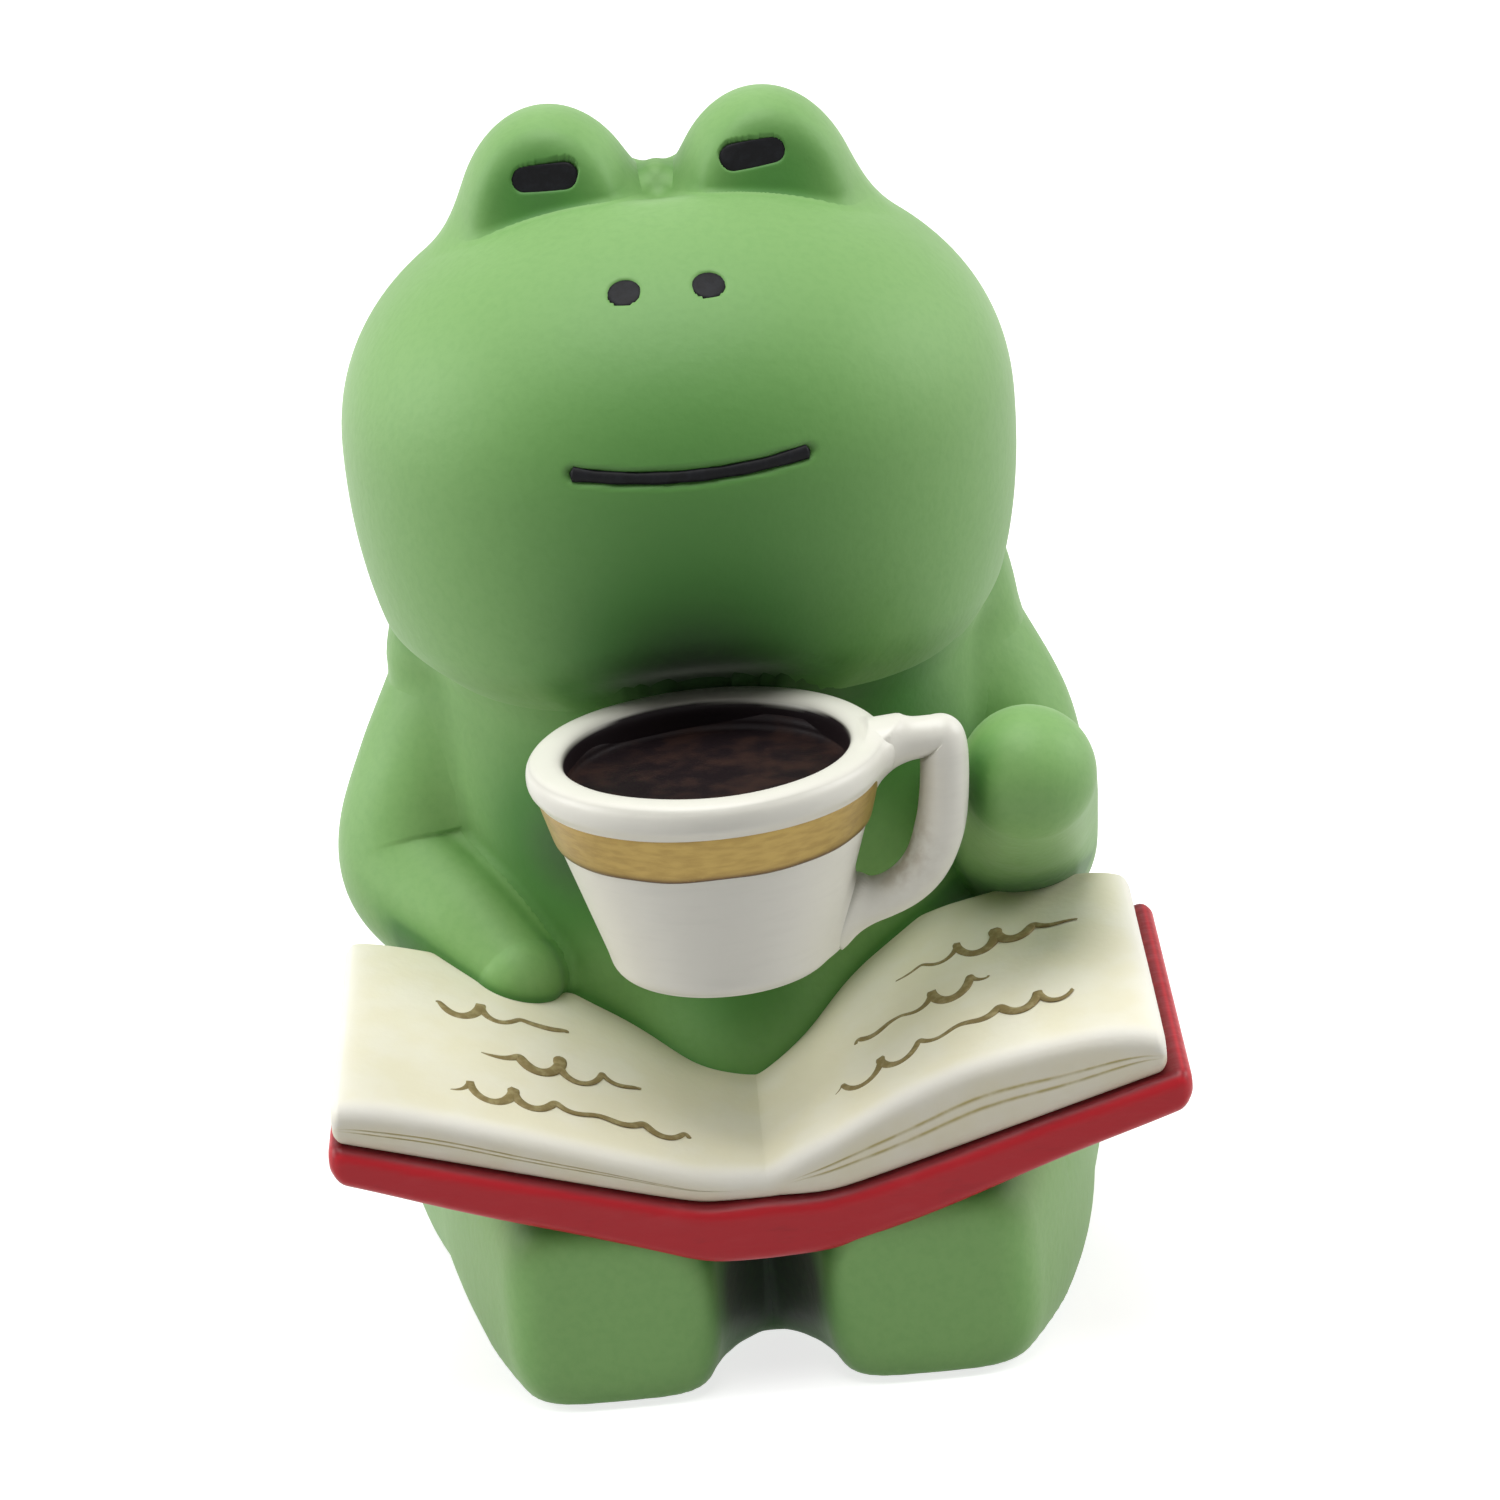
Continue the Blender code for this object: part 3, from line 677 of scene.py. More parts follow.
def points_and_normals(piece: bpy.types.Object) -> tuple[Array, Array]:
    """Reads a piece's vertices in millimetres, and the way that its surface faces at each.

    Args:
        piece: the object.

    Returns:
        The points and the unit directions.
    """
    count = len(piece.data.vertices)
    points = np.empty(count * 3)
    normals = np.empty(count * 3)
    piece.data.vertices.foreach_get("co", points)
    piece.data.vertices.foreach_get("normal", normals)
    return points.reshape(-1, 3) / MM, normals.reshape(-1, 3)


def show(piece: bpy.types.Object, material: bpy.types.Material, slot: Slot, *nodes: str) -> None:
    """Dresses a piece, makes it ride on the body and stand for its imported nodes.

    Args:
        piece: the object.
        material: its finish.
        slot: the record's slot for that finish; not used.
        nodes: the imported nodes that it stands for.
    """
    piece.data.materials.append(material)
    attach(piece, BODY)
    if nodes:
        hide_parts(*nodes)
    LOG.info("%s: %d faces", piece.name, len(piece.data.polygons))


# Nodes of a material


def linear(colour: str) -> tuple[float, float, float, float]:
    """Turns an sRGB hex colour into linear RGBA.

    A channel c becomes c / 12.92 where it is at most 0.04045, and else (c + 0.055) / 1.055 to the
    power of 2.4.

    Args:
        colour: a hash sign and six hex digits.

    Returns:
        The linear red, green and blue, and an alpha of one.
    """
    channels = [int(colour[i : i + 2], 16) / 255 for i in (1, 3, 5)]
    r, g, b = (c / 12.92 if c <= 0.04045 else ((c + 0.055) / 1.055) ** 2.4 for c in channels)
    return (r, g, b, 1.0)


@dataclass
class Palette:
    """Builds one material's nodes."""

    name: str
    tree: bpy.types.NodeTree = field(init=False)
    shader: bpy.types.Node = field(init=False)
    material: bpy.types.Material = field(init=False)

    def __post_init__(self) -> None:
        """Makes the material and finds its shader."""
        self.material = bpy.data.materials.new(self.name)
        self.material.use_nodes = True
        self.tree = self.material.node_tree
        self.shader = self.tree.nodes["Principled BSDF"]

    def add(self, kind: str, settings: dict | None = None, **links: object) -> bpy.types.Node:
        """Adds a node, sets what is given and links what is a socket.

        Args:
            kind: the node's type.
            settings: its properties by name.
            links: its inputs by name, with spaces as underscores, or i0, i1 for their number; each is a
                value or a socket.

        Returns:
            The new node.
        """
        node = self.tree.nodes.new(kind)
        for key, value in (settings or {}).items():
            setattr(node, key, value)
        for key, value in links.items():
            place = int(key[1:]) if key[0] == "i" and key[1:].isdigit() else key.replace("_", " ")
            self.put(node.inputs[place], value)
        return node

    def put(self, target: bpy.types.NodeSocket, value: object) -> None:
        """Links a socket to an input, or sets the input to a value.

        Args:
            target: the input.
            value: a number, a colour or a socket.
        """
        if isinstance(value, bpy.types.NodeSocket):
            self.tree.links.new(value, target)
        else:
            target.default_value = value

    def set(self, **values: object) -> None:
        """Sets or links inputs of the shader."""
        for key, value in values.items():
            self.put(self.shader.inputs[key.replace("_", " ")], value)

    def noise(
        self, size: float, detail: float = 2.0, stretch: Sequence[float] = (1, 1, 1)
    ) -> bpy.types.NodeSocket:
        """Noise on object coordinates, whose grain is about size millimetres.

        Args:
            size: the grain's size.
            detail: how many finer layers.
            stretch: the grain's size along x, y and z as multiples.

        Returns:
            The socket with values about a half.
        """
        place = self.add("ShaderNodeTexCoord").outputs["Object"]
        scale = [1 / s for s in stretch]
        place = self.add("ShaderNodeMapping", Vector=place, Scale=scale).outputs[0]
        grain = self.add("ShaderNodeTexNoise", Vector=place, Scale=1 / (size * MM), Detail=detail)
        return grain.outputs[0]

    def value(self, attribute: str) -> bpy.types.NodeSocket:
        """The number stored on the vertices under a name."""
        return self.add("ShaderNodeAttribute", {"attribute_name": attribute}).outputs["Fac"]

    def span(
        self, source: object, low: float, high: float, to_low: float = 0.0, to_high: float = 1.0
    ) -> bpy.types.NodeSocket:
        """Maps a span of values to another along a smooth step, and holds it at both ends.

        Args:
            source: the socket to map.
            low: where the span starts.
            high: where it ends.
            to_low: the value at and below its start.
            to_high: the value at and above its end.

        Returns:
            The socket with the mapped value.
        """
        ends = {"From_Min": low, "From_Max": high, "To_Min": to_low, "To_Max": to_high}
        settings = {"clamp": True, "interpolation_type": "SMOOTHSTEP"}
        return self.add("ShaderNodeMapRange", settings, Value=source, **ends).outputs[0]

    def mix(self, share: object, first: object, second: object) -> bpy.types.NodeSocket:
        """Mixes two colours.

        Args:
            share: how much of the second, a number or a socket.
            first: a hex colour or a socket.
            second: a hex colour or a socket.

        Returns:
            The socket with the mixed colour.
        """
        first, second = (linear(side) if isinstance(side, str) else side for side in (first, second))
        settings = {"data_type": "RGBA", "clamp_factor": True}
        return self.add("ShaderNodeMix", settings, i0=share, i6=first, i7=second).outputs[2]

    def times(self, first: object, second: object) -> bpy.types.NodeSocket:
        """The product of two numbers or sockets."""
        return self.add("ShaderNodeMath", {"operation": "MULTIPLY"}, i0=first, i1=second).outputs[0]

    def plus(self, first: object, second: object) -> bpy.types.NodeSocket:
        """The sum of two numbers or sockets."""
        return self.add("ShaderNodeMath", {"operation": "ADD"}, i0=first, i1=second).outputs[0]

    def relief(self, height: object, depth: float, **below: object) -> bpy.types.NodeSocket:
        """Bumps the surface by a height, where one stands for depth millimetres, over Normal if given."""
        return self.add("ShaderNodeBump", Height=height, Distance=depth * MM, **below).outputs[0]


@dataclass(frozen=True)
class GreenPaint:
    """Matt acrylic, sprayed on cast resin: dry to the eye, with darker green in creases and spots that is
    both airbrushing and painted shade.

    Each pair of numbers is the span over which one colour gives way to the next. Grains and depths
    are in millimetres, here and in the other finishes.
    """

    # The open green, then darker greens in creases and sprayed spots: airbrushing that also serves as
    # painted shade.
    light: str = "#7fad63"
    mid: str = "#6ea052"
    deep: str = "#3f7a2a"
    dark: str = "#283629"
    light_to_mid: Pair = (0.06, 0.50)
    mid_to_deep: Pair = (0.35, 0.90)
    spray_to_deep: Pair = (0.0, 0.55)
    spray_to_dark: Pair = (0.45, 1.0)
    mottle: float = 3.0
    mottle_strength: float = 0.06
    mottle_depth: float = 0.03
    speckle: float = 0.35
    speckle_strength: float = 0.09
    speckle_depth: float = 0.012
    roughness: float = 0.56
    specular: float = 0.45
    dust: float = 0.30
    dust_roughness: float = 0.45
    dust_tint: str = "#eef6e6"

    def material(self) -> bpy.types.Material:
        """The green paint, darkened by crease depth and by sprayed spots, as airbrushing and painted
        shade.

        Returns:
            The material.
        """
        p = Palette("matt_acrylic_green")
        mottle = p.noise(self.mottle, 3)
        speckle = p.noise(self.speckle, 2)
        spray = p.value("spray")
        uneven = p.span(mottle, 0.3, 0.7, -self.mottle_strength, self.mottle_strength)
        crease = p.plus(p.value("crease"), uneven)
        # Painted shade, partly airbrushing: lighter in the open, deeper green in creases, deep and dark
        # green in the sprayed spots.
        colour = p.mix(p.span(crease, *self.light_to_mid), self.light, self.mid)
        colour = p.mix(p.span(crease, *self.mid_to_deep), colour, self.deep)
        colour = p.mix(p.span(spray, *self.spray_to_deep), colour, self.deep)
        colour = p.mix(p.span(spray, *self.spray_to_dark), colour, self.dark)
        colour = p.mix(p.span(speckle, 0.35, 0.75, 0.0, self.speckle_strength), colour, self.deep)
        p.set(Base_Color=colour, Roughness=self.roughness, Specular_IOR_Level=self.specular)
        p.set(Sheen_Weight=self.dust, Sheen_Roughness=self.dust_roughness)
        p.set(Sheen_Tint=linear(self.dust_tint))
        fine = p.relief(speckle, self.speckle_depth)
        p.set(Normal=p.relief(p.noise(self.mottle / 2, 3), self.mottle_depth, Normal=fine))
        return p.material


@dataclass(frozen=True)
class WhitePaint:
    """Satin acrylic brushed on resin: soft gloss, faint brush drag, and greyer in its hollows as painted
    shade.
    """

    white: str = "#e6e4d9"
    grey: str = "#b9b8ac"
    brown_spot: str = "#8a6f4a"
    coffee: str = "#1e1719"
    white_to_grey: Pair = (0.15, 0.85)
    drag: float = 0.5
    drag_stretch: Triple = (4, 4, 0.6)
    drag_strength: float = 0.06
    drag_depth: float = 0.003
    swell: float = 1.6
    swell_depth: float = 0.03
    roughness: float = 0.38
    dry_specular: float = 0.5
    wet_specular: float = 0.1

    def material(self) -> bpy.types.Material:
        """The white paint: grey in creases as painted shade, browner in a patchy spot inside the handle,
        coffee's colour in the well.

        Returns:
            The material.
        """
        p = Palette("satin_acrylic_white")
        drag = p.noise(self.drag, 3, self.drag_stretch)
        well = p.value("well")
        patches = p.span(p.noise(self.drag, 3), 0.35, 0.7)
        # Painted shade: greyer in creases.
        colour = p.mix(p.span(p.value("crease"), *self.white_to_grey), self.white, self.grey)
        colour = p.mix(p.span(drag, 0.45, 0.75, 0.0, self.drag_strength), colour, self.grey)
        # Browner in a patchy spot on the wall inside the handle's loop.
        colour = p.mix(p.times(p.value("brown_spot"), patches), colour, self.brown_spot)
        colour = p.mix(well, colour, self.coffee)
        specular = p.span(well, 0, 1, self.dry_specular, self.wet_specular)
        p.set(Base_Color=colour, Roughness=self.roughness, Specular_IOR_Level=specular)
        swell = p.relief(p.noise(self.swell, 2), self.swell_depth)
        p.set(Normal=p.relief(drag, self.drag_depth, Normal=swell))
        return p.material


@dataclass(frozen=True)
class BronzePaint:
    """Metallic bronze acrylic, brushed round the cup: fine flake, streaks along the stroke, dark edge."""

    gold: str = "#a98f4e"
    shade: str = "#9a8044"
    edge: str = "#5b4020"
    streak: float = 0.30
    streak_stretch: Triple = (3, 3, 0.7)
    streak_depth: float = 0.02
    flake: float = 0.12
    flake_strength: float = 0.3
    roughness: float = 0.42
    metallic: float = 0.55

    def material(self) -> bpy.types.Material:
        """The bronze, streaked along the stroke and darker by the edge attribute.

        Returns:
            The material.
        """
        p = Palette("bronze_acrylic")
        streak = p.noise(self.streak, 3, self.streak_stretch)
        flake = p.noise(self.flake, 1)
        colour = p.mix(p.span(streak, 0.35, 0.7), self.gold, self.shade)
        colour = p.mix(p.value("edge"), colour, self.edge)
        colour = p.mix(p.span(flake, 0.6, 0.8, 0.0, self.flake_strength), colour, self.gold)
        p.set(Base_Color=colour, Metallic=self.metallic, Roughness=self.roughness)
        p.set(Normal=p.relief(streak, self.streak_depth))
        return p.material


@dataclass(frozen=True)
class CoffeePaint:
    """Gloss brown acrylic, flooded into the well: nearly black, a red-brown bloom and a soft shine."""

    black: str = "#1c1517"
    bloom: str = "#2f201c"
    patch: float = 1.4
    patch_depth: float = 0.02
    grain: float = 0.3
    grain_depth: float = 0.006
    roughness: float = 0.42
    dulling: float = 0.16
    specular: float = 0.12

    def material(self) -> bpy.types.Material:
        """The coffee, with a mottled bloom that is duller than the rest.

        Returns:
            The material.
        """
        p = Palette("gloss_acrylic_brown")
        bloom = p.noise(self.patch, 4)
        p.set(Base_Color=p.mix(p.span(bloom, 0.4, 0.72), self.black, self.bloom))
        p.set(Roughness=p.span(bloom, 0.3, 0.7, self.roughness, self.roughness + self.dulling))
        grain = p.relief(p.noise(self.grain, 2), self.grain_depth)
        p.set(Normal=p.relief(bloom, self.patch_depth, Normal=grain), Specular_IOR_Level=self.specular)
        return p.material


@dataclass(frozen=True)
class RedPaint:
    """Satin acrylic on resin: strong red, darker in the joint with the pages and other creases as painted
    shade.
    """

    red: str = "#bd1e29"
    dark: str = "#7a1620"
    worn: str = "#c43c44"
    red_to_dark: Pair = (0.25, 0.9)
    brush: float = 0.7
    brush_stretch: Triple = (3, 1, 1)
    brush_strength: float = 0.25
    brush_depth: float = 0.05
    swell: float = 2.2
    swell_depth: float = 0.08
    roughness: float = 0.4
    specular: float = 0.3

    def material(self) -> bpy.types.Material:
        """The red: darker in creases as painted shade, and streaked with paler and darker strokes of the
        brush.

        Returns:
            The material.
        """
        p = Palette("satin_acrylic_red")
        brush = p.noise(self.brush, 3, self.brush_stretch)
        # Painted shade: darker in creases.
        colour = p.mix(p.span(p.value("crease"), *self.red_to_dark), self.red, self.dark)
        colour = p.mix(p.span(brush, 0.55, 0.8, 0.0, self.brush_strength), colour, self.worn)
        colour = p.mix(p.span(brush, 0.2, 0.42, self.brush_strength, 0.0), colour, self.dark)
        p.set(Base_Color=colour, Roughness=self.roughness, Specular_IOR_Level=self.specular)
        swell = p.relief(p.noise(self.swell, 2), self.swell_depth)
        p.set(Normal=p.relief(brush, self.brush_depth, Normal=swell))
        return p.material


@dataclass(frozen=True)
class CreamPaint:
    """Matt acrylic on resin: warm cream, dry, whiter on the rounded edges as a painted highlight, yellower
    in scored lines.
    """

    cream: str = "#efe9cf"
    white: str = "#f7f5ec"
    line: str = "#c2b377"
    shade: str = "#bfb48c"
    overspray: str = "#8f8d52"
    cream_to_shade: Pair = (0.5, 1.0)
    mottle: float = 2.5
    mottle_strength: float = 0.35
    mottle_depth: float = 0.06
    broken: float = 0.9
    grain: float = 0.3
    grain_depth: float = 0.012
    roughness: float = 0.6
    specular: float = 0.35

    def material(self) -> bpy.types.Material:
        """The cream, with edges painted white as a highlight, broken yellow score lines and green drift
        near the belly.

        Returns:
            The material.
        """
        p = Palette("matt_acrylic_cream")
        mottle = p.noise(self.mottle, 3)
        drift = p.times(p.value("spray"), p.span(mottle, 0.2, 0.7, 0.5, 1.0))
        line = p.times(p.value("line"), p.span(p.noise(self.broken, 3), 0.25, 0.6, 0.35, 1.0))
        crease = p.span(p.value("crease"), *self.cream_to_shade, 0.0, self.mottle_strength)
        colour = p.mix(p.span(mottle, 0.35, 0.7, 0.0, self.mottle_strength), self.cream, self.white)
        # Painted highlight: whiter along the rounded upper edge and the fore-edge.
        colour = p.mix(p.value("edge"), colour, self.white)
        colour = p.mix(crease, colour, self.shade)
        colour = p.mix(drift, colour, self.overspray)
        colour = p.mix(line, colour, self.line)
        p.set(Base_Color=colour, Roughness=self.roughness, Specular_IOR_Level=self.specular)
        grain = p.relief(p.noise(self.grain, 2), self.grain_depth)
        p.set(Normal=p.relief(mottle, self.mottle_depth, Normal=grain))
        return p.material


@dataclass(frozen=True)
class Enamel:
    """Enamel laid on with a fine brush: dense, slightly glossy, with the brush's drag in it."""

    name: str
    colour: str
    thin: str
    roughness: float
    drag: float = 0.35
    drag_depth: float = 0.03
    specular: float = 0.15

    def material(self) -> bpy.types.Material:
        """The enamel, a little thinner in places.

        Returns:
            The material.
        """
        p = Palette(self.name)
        drag = p.noise(self.drag, 3)
        p.set(Base_Color=p.mix(p.span(drag, 0.4, 0.75), self.colour, self.thin), Roughness=self.roughness)
        p.set(Specular_IOR_Level=self.specular, Normal=p.relief(drag, self.drag_depth))
        return p.material


# The green body

GROUND = Beyond((0, 0, 0), (0, 0, -1))


@dataclass(frozen=True)
class Head:
    """The head: an egg cut off at the neck, with an eye mound at each side of the crown."""

    centre: Triple = (-0.30, -0.5, 34.0)
    half_width: float = 13.3
    half_depth: float = 12.4
    crown_rise: float = 9.7
    saddle_z: float = 42.9
    saddle_radius: float = 5.0
    saddle_soft: float = 1.2
    jaw_drop: float = 16.5
    squareness: float = 2.15
    neck_z: float = 26.0
    neck_round: float = 1.4
    mound_spread: float = 4.2
    mound_y: float = 0.6
    mound_top_z: float = 46.7
    mound_half_width: float = 3.9
    mound_half_depth: float = 4.7
    mound_half_height: float = 5.4
    front_y: float = -2.3
    front_lean: float = 15.0
    front_yaw: float = 8.0
    front_round: float = 0.5
    fold: Fade = Fade(0.3, 1.7, -2.6, 0.4)
    groove_lip: float = 0.12
    slot_radius: float = 0.50
    pit_radius: float = 0.62
    mouth_radius: float = 0.30

    def skull(self) -> Form:
        """The egg, cut off at the neck, with a soft saddle between the mounds.

        Returns:
            The skull.
        """
        sizes = (self.half_width, self.half_depth, self.crown_rise, self.jaw_drop)
        egg = Egg(self.centre, *sizes, self.squareness)
        neck = Beyond((0, 0, self.neck_z), (0, 0, -1))
        middle = (self.centre[0], self.mound_y, self.saddle_z + self.saddle_radius)
        saddle = ball(middle, self.saddle_radius)
        return Carved(Shared([egg, neck], self.neck_round), [saddle], self.saddle_soft)

    def mound_core(self, side: Side) -> Triple:
        """The middle of a mound."""
        x = self.centre[0] + side.value * self.mound_spread
        return (x, self.mound_y, self.mound_top_z - self.mound_half_height)

    def mound(self, side: Side) -> Form:
        """One mound: a lobe whose front is cut flat, leaning back and turned a little outward.

        Args:
            side: which one.

        Returns:
            The mound.
        """
        core, height = self.mound_core(side), self.mound_half_height
        lobe = Egg(core, self.mound_half_width, self.mound_half_depth, height, height)
        lean, yaw = math.radians(self.front_lean), math.radians(self.front_yaw)
        outward = (side.value * math.sin(yaw), -math.cos(yaw) * math.cos(lean), math.sin(lean))
        front = Beyond((core[0], self.front_y, self.centre[2] + self.crown_rise), outward)
        return Shared([lobe, front], self.front_round)


def face_point(form: Form, x: float, z: float, reach: float) -> tuple[Array, Array]:
    """Where a ray from inside leaves the front of a form, and the way that it faces there.

    Args:
        form: the solid.
        x: the ray's x.
        z: the ray's z.
        reach: the longest way to look.

    Returns:
        The point and the unit direction.
    """
    start = np.array([x, 0.0, z])
    place = cast(form, start, np.array([[0.0, -1.0, 0.0]]), reach)[0]
    step = 0.02
    probes = place + np.eye(3) * step
    slope = form.distance(probes) - form.distance(place[None, :])
    return place, unit(slope)


@dataclass(frozen=True)
class Torso:
    """The torso: a broad belly blended into a narrower chest, flat underneath."""

    belly_centre: Triple = (0.2, 1.2, 7.0)
    belly_half_width: float = 14.2
    belly_half_depth: float = 11.2
    belly_rise: float = 14.0
    belly_drop: float = 18.0
    chest_centre: Triple = (0.0, 0.6, 21.5)
    chest_half_width: float = 11.7
    chest_half_depth: float = 10.7
    chest_half_height: float = 20.0
    waist_blend: float = 3.0
    chest_top_z: float = 27.5
    lap_centre: Triple = (0.4, -8.5, 9.8)
    lap_radius: float = 3.4
    lap_blend: float = 3.0
    base_round: float = 0.5

    def form(self) -> Form:
        """The torso without its fillets.

        Returns:
            The torso.
        """
        sizes = (self.belly_half_width, self.belly_half_depth, self.belly_rise, self.belly_drop)
        belly = Egg(self.belly_centre, *sizes)
        height = self.chest_half_height
        chest = Egg(self.chest_centre, self.chest_half_width, self.chest_half_depth, height, height)
        pear = Joined([belly, chest], self.waist_blend)
        pear = Joined([pear, ball(self.lap_centre, self.lap_radius)], self.lap_blend)
        top = Beyond((0, 0, self.chest_top_z), (0, 0, 1))
        return Shared([pear, GROUND, top], self.base_round)


@dataclass(frozen=True)
class Leg(Form):
    """A thigh of rounded square section that runs back from a flat sole.

    Across a section the reach is the q-norm of the offsets over the half sizes, with q the
    squareness. The inner edge leaves the crotch along a quarter of an ellipse.
    """

    side: Side
    feet_x: float = 0.15
    sole_y: float = -19.5
    sole_inner: float = 2.1
    overlap: float = 1.8
    sole_outer: float = 9.9
    sole_height: float = 8.1
    edge_round: float = 1.6
    sole_sunk: float = 0.3
    hip_sink: float = 1.3
    crotch_depth: float = 6.3
    knee_flare: float = 0.55
    length: float = 20.0
    hip_outer: float = 13.7
    hip_height: float = 11.0
    base_round: float = 0.5
    squareness: float = 3.3
    path_margin: float = 4.0

    def section(self, y: Array) -> tuple[Array, Array, Array, Array]:
        """The middle and half size of the section across and upward, at each y.

        Args:
            y: where the sections stand.

        Returns:
            Across: middle and half; upward: middle and half.
        """
        along = np.clip(y - self.sole_y, 0, self.length)
        share = along / self.length
        closing = np.clip(along / self.crotch_depth, 0, 1)
        inner = (self.sole_inner + self.overlap) * np.sqrt(1 - closing**2 + TINY) - self.overlap
        outer = self.sole_outer + (self.hip_outer - self.sole_outer) * share
        outer = outer + self.knee_flare * np.sin(np.pi * share)
        top = self.sole_height + (self.hip_height - self.sole_height) * share
        below = -self.sole_sunk - self.hip_sink * closing
        return (inner + outer) / 2, (outer - inner) / 2, (top + below) / 2, (top - below) / 2

    def path(self, count: int) -> Array:
        """Points inside the leg from hip to sole.

        Args:
            count: how many.

        Returns:
            The points, row by row.
        """
        toe, hip = self.sole_y + self.path_margin, self.sole_y + self.length - self.path_margin
        y = np.linspace(hip, toe, count)
        middle, _, centre, _ = self.section(y)
        return np.stack([self.feet_x + self.side.value * middle, y, centre], -1)

    def distance(self, points: Array) -> Array:
        """Signed distances to the leg.

        Args:
            points: their last axis is x, y, z.

        Returns:
            One distance for each point.
        """
        middle, half, centre, height = self.section(points[..., 1])
        across = np.abs((points[..., 0] - self.feet_x) * self.side.value - middle) + TINY
        upward = np.abs(points[..., 2] - centre) + TINY
        q = self.squareness
        reach = ((across / half) ** q + (upward / height) ** q) ** (1 / q)
        slope = np.hypot(across ** (q - 1) / half**q, upward ** (q - 1) / height**q)
        total = (reach - 1) * reach ** (q - 1) / slope
        total = soft_common(total, self.sole_y - points[..., 1], self.edge_round)
        total = soft_common(total, points[..., 1] - self.sole_y - self.length, self.edge_round)
        return soft_common(total, -points[..., 2], self.base_round)


@dataclass(frozen=True)
class Arm:
    """An arm: a bulging upper arm from the shoulder, and a forearm that ends in a fist."""

    shoulder: Triple
    bulge: Triple
    elbow: Triple
    hand: Triple
    radii: tuple[float, ...]
    wrist_share: float = 0.6

    def knots(self) -> list[Array]:
        """Shoulder, bulge, elbow, wrist and hand."""
        shoulder, bulge, elbow, hand = map(np.array, (self.shoulder, self.bulge, self.elbow, self.hand))
        return [shoulder, bulge, elbow, elbow + (hand - elbow) * self.wrist_share, hand]

    def path(self, count: int) -> Array:
        """Points along the middle of the arm, from shoulder to hand."""
        return through(self.knots(), count)

    def form(self) -> Form:
        """The arm as one smooth tube."""
        return Rope(self.knots(), self.radii)


@dataclass(frozen=True)
class Spot:
    """A soft spot where a paint turns darker, strongest at its centre."""

    centre: Triple
    radius: float
    strength: float

    def value(self, points: Array) -> Array:
        """Strength times exp(-(distance / radius) squared)."""
        gap = np.linalg.norm(points - np.array(self.centre), axis=-1)
        return self.strength * np.exp(-((gap / self.radius) ** 2))


def crease_depth(points: Array, normals: Array, forms: Sequence[Form]) -> Array:
    """How deep each point lies in a crease, from 0 in the open to 1.

    From each point the surface's normal is followed for a few lengths. Where the nearest form is
    closer than the length walked, the missing share counts, and the shares are averaged.

    Args:
        points: points on a surface.
        normals: the way that it faces.
        forms: every solid near it, its own too.

    Returns:
        The depth at each point.
    """
    total = np.zeros(len(points))
    for reach in CREASE_REACHES:
        probe = points + normals * reach
        nearest = np.min([form.distance(probe) for form in forms], axis=0)
        total += np.clip(1 - nearest / reach, 0, 1)
    return total / len(CREASE_REACHES)


def shade_creases(piece: bpy.types.Object, forms: Sequence[Form]) -> Array:
    """Stores on a piece how deep each vertex lies in a crease.

    Args:
        piece: the object.
        forms: every solid near it.

    Returns:
        Its vertices, in millimetres.
    """
    points, normals = points_and_normals(piece)
    set_attribute(piece, "crease", crease_depth(points, normals, forms))
    return points


def wobble(turn: Array, size: float, waves: Sequence[int] = (3, 5, 8)) -> Array:
    """A hand's unsteadiness round a ring: a sum of sines of whole turns, of about this size."""
    return size * sum(np.sin(n * turn + 1.7 * n) / (i + 1) for i, n in enumerate(waves))


# The cup


@dataclass(frozen=True)
class Cone(Form):
    """An upright solid cone, for the creases beside the cup and the fillet to its handle."""

    base: Triple
    height: float
    base_radius: float
    top_radius: float

    def distance(self, points: Array) -> Array:
        """Signed distances to the cone between its base and its top.

        Args:
            points: their last axis is x, y, z.

        Returns:
            One distance for each point.
        """
        offset = points - np.array(self.base)
        flare = (self.top_radius - self.base_radius) / self.height
        radius = np.hypot(offset[..., 0], offset[..., 1])
        side = (radius - self.base_radius - flare * offset[..., 2]) / math.hypot(1, flare)
        return np.maximum(side, np.maximum(-offset[..., 2], offset[..., 2] - self.height))


